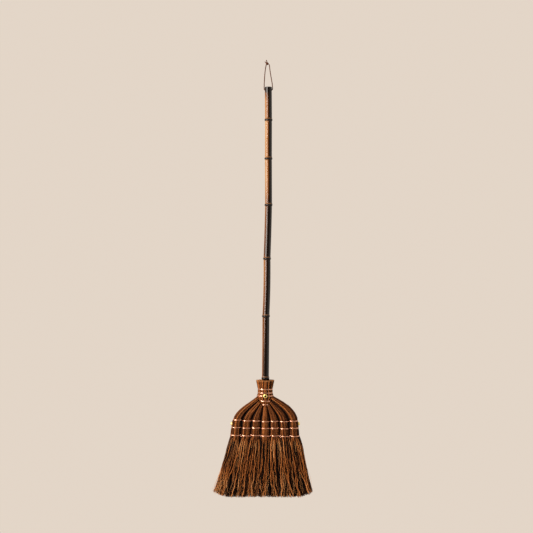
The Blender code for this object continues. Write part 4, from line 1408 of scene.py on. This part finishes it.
def stitchPass(row, order, front, level):
    # one doubled pass of wire, in front of one bundle and behind the next; level is +1 for the upper pass
    way = 1 if order[-1] > order[0] else -1
    limit = stitch["reachDegrees"][row]
    points = []
    for n, place in enumerate(order):
        spine, drop = spines[place], rowDrop(row, place)
        middle, left, right, deep = (
            np.interp(drop, spine["drop"], spine[key]) for key in ("across", "leftWidth", "rightWidth", "halfDepth")
        )
        face = front * (-1 if n % 2 == 0 else 1)
        for degrees in np.linspace(-limit, limit, 11):
            swing = way * math.radians(degrees)
            u = math.copysign(abs(math.sin(swing)) ** fan["roundness"], swing)
            v = math.cos(swing) ** fan["roundness"]
            out = u * ((right if u > 0 else left) + stitch["off"])
            share = abs(degrees / limit) ** 3
            rise = level * (stitch["frontLevel"] + (stitch["cleftLevel"] - stitch["frontLevel"]) * share)
            tilt = fan["rows"][row][1] * out / fan["skirtPitch"]
            points.append((middle + out, face * v * (deep + stitch["off"]), drop + tilt - rise))
        bridge = stitch["bridge"][row]
        if bridge and n < len(order) - 1:
            # the lowest wire crosses the clefts near the front, where the bundles already touch
            edge = middle + way * (right if way > 0 else left)
            halfway = 0.5 * (drop + rowDrop(row, order[n + 1]))
            points.append((edge, -bridge * deep, halfway - level * stitch["bridgeLevel"]))
    return points


def buildStitchWire(row):
    order = list(places)
    ends = []
    for place, side in ((order[0], "leftWidth"), (order[-1], "rightWidth")):
        spine, drop = spines[place], rowDrop(row, place)
        reach = np.interp(drop, spine["drop"], spine[side]) + stitch["off"]
        ends.append((np.interp(drop, spine["drop"], spine["across"]) + math.copysign(reach, place), drop))
    (leftEdge, leftDrop), (rightEdge, rightDrop) = ends
    level = stitch["cleftLevel"]
    out = [(leftEdge, -0.003, leftDrop - level)] + stitchPass(row, order, 1, 1) + [(rightEdge, 0.0, rightDrop)]
    back = stitchPass(row, order[::-1], -1, -1) + [(leftEdge, 0.003, leftDrop + level)]
    points = np.array(out + back)
    rings = []
    for side in (-0.5, 0.5):
        line = smoothLine(toFrame(points[:, 0], points[:, 1], points[:, 2] + side * stitch["apart"]), 0.0011)[0]
        rings.append(sweepTube(line, neck["wireRadius"], 10))
    name = f"stitchWire{row + 1}"
    addPiece(name, joinSkins(name, *rings), "copper", broomBody, "copper", f"stitch_wire_{row + 1}")


# Pin, skewer and brass

pinHead = {
    "drop": 0.0479,
    "pinRadius": 0.0021,
    "washerRadius": 0.0063,
    "washerHeight": 0.0026,
    "holeRadius": 0.0034,
    "shy": 0.0012,
    "gap": 0.0003,
}

skewerCap = {"radius": 0.0056, "height": 0.0048, "skewerRadius": 0.0020}


def buildPin():
    deep = neckReach(pinHead["drop"])[1]
    seat = deep * (1 + neck["flute"]) + neck["wireLift"] + 2 * neck["wireRadius"] + pinHead["gap"]
    reach = seat + pinHead["washerHeight"] - pinHead["shy"]
    size, high = pinHead["washerRadius"], pinHead["washerHeight"]
    hole = pinHead["holeRadius"]
    centre = toFrame(0.0, 0.0, pinHead["drop"])
    pinSize = pinHead["pinRadius"]
    half = ((pinSize, reach - 0.0007), (0.92 * pinSize, reach - 0.0003), (0.6 * pinSize, reach), (0, reach + 0.0001))
    profile = [(r, -h) for r, h in reversed(half)] + list(half)
    mesh = turnedMesh("neckPin", profile, 32, centre, (0, -1, 0))
    addPiece("neckPin", mesh, "pin", broomBody, "dark_bamboo", "neck_pin")
    profile = [(hole, 0.0), (0.97 * size, 0.0), (size, 0.0003), (0.985 * size, 0.0007)]
    for degrees in range(15, 90, 15):
        turn = math.radians(degrees)
        profile.append((size * (0.56 + 0.425 * math.cos(turn)), high * (0.24 + 0.76 * math.sin(turn))))
    profile += [(0.54 * size, high), (hole + 0.0006, 0.985 * high), (hole + 0.0001, 0.80 * high)]
    profile += [(hole, 0.6 * high), (hole, 0.0)]
    for name, node, way in (("washerFront", "pin_washer_front", -1), ("washerBack", "pin_washer_back", 1)):
        place = centre + np.array((0, way * seat, 0))
        mesh = turnedMesh(name, profile, 48, place, (0, way, 0))
        addPiece(name, mesh, "brass", broomBody, "brass", node)


def buildCaps():
    for name, node, way in (("capLeft", "skewer_cap_left", -1), ("capRight", "skewer_cap_right", 1)):
        low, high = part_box(node)
        size, tall = skewerCap["radius"], skewerCap["height"]
        seat = high.x if way < 0 else low.x
        hole = skewerCap["skewerRadius"] + 0.0003
        profile = [(hole, 0.0), (0.97 * size, 0.0), (size, 0.0003), (0.98 * size, 0.0007)]
        for degrees in range(10, 90, 10):
            turn = math.radians(degrees)
            profile.append((0.96 * size * math.cos(turn), tall * (0.16 + 0.84 * math.sin(turn))))
        profile += [(0.0, tall), (0.0, 0.0030), (hole, 0.0030), (hole, 0.0)]
        place = (seat, 0.5 * (low.y + high.y), 0.5 * (low.z + high.z))
        mesh = turnedMesh(name, profile, 48, place, (way, 0, 0))
        addPiece(name, mesh, "brass", broomBody, "brass", node)
    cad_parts["skewer"].data.materials.clear()
    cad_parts["skewer"].data.materials.append(finishes["skewer"])


for row in range(len(neck["wireDrops"])):
    buildNeckWire(row)
for row in range(len(fan["rows"])):
    buildStitchWire(row)
buildPin()
buildCaps()
print("wire and brass done")
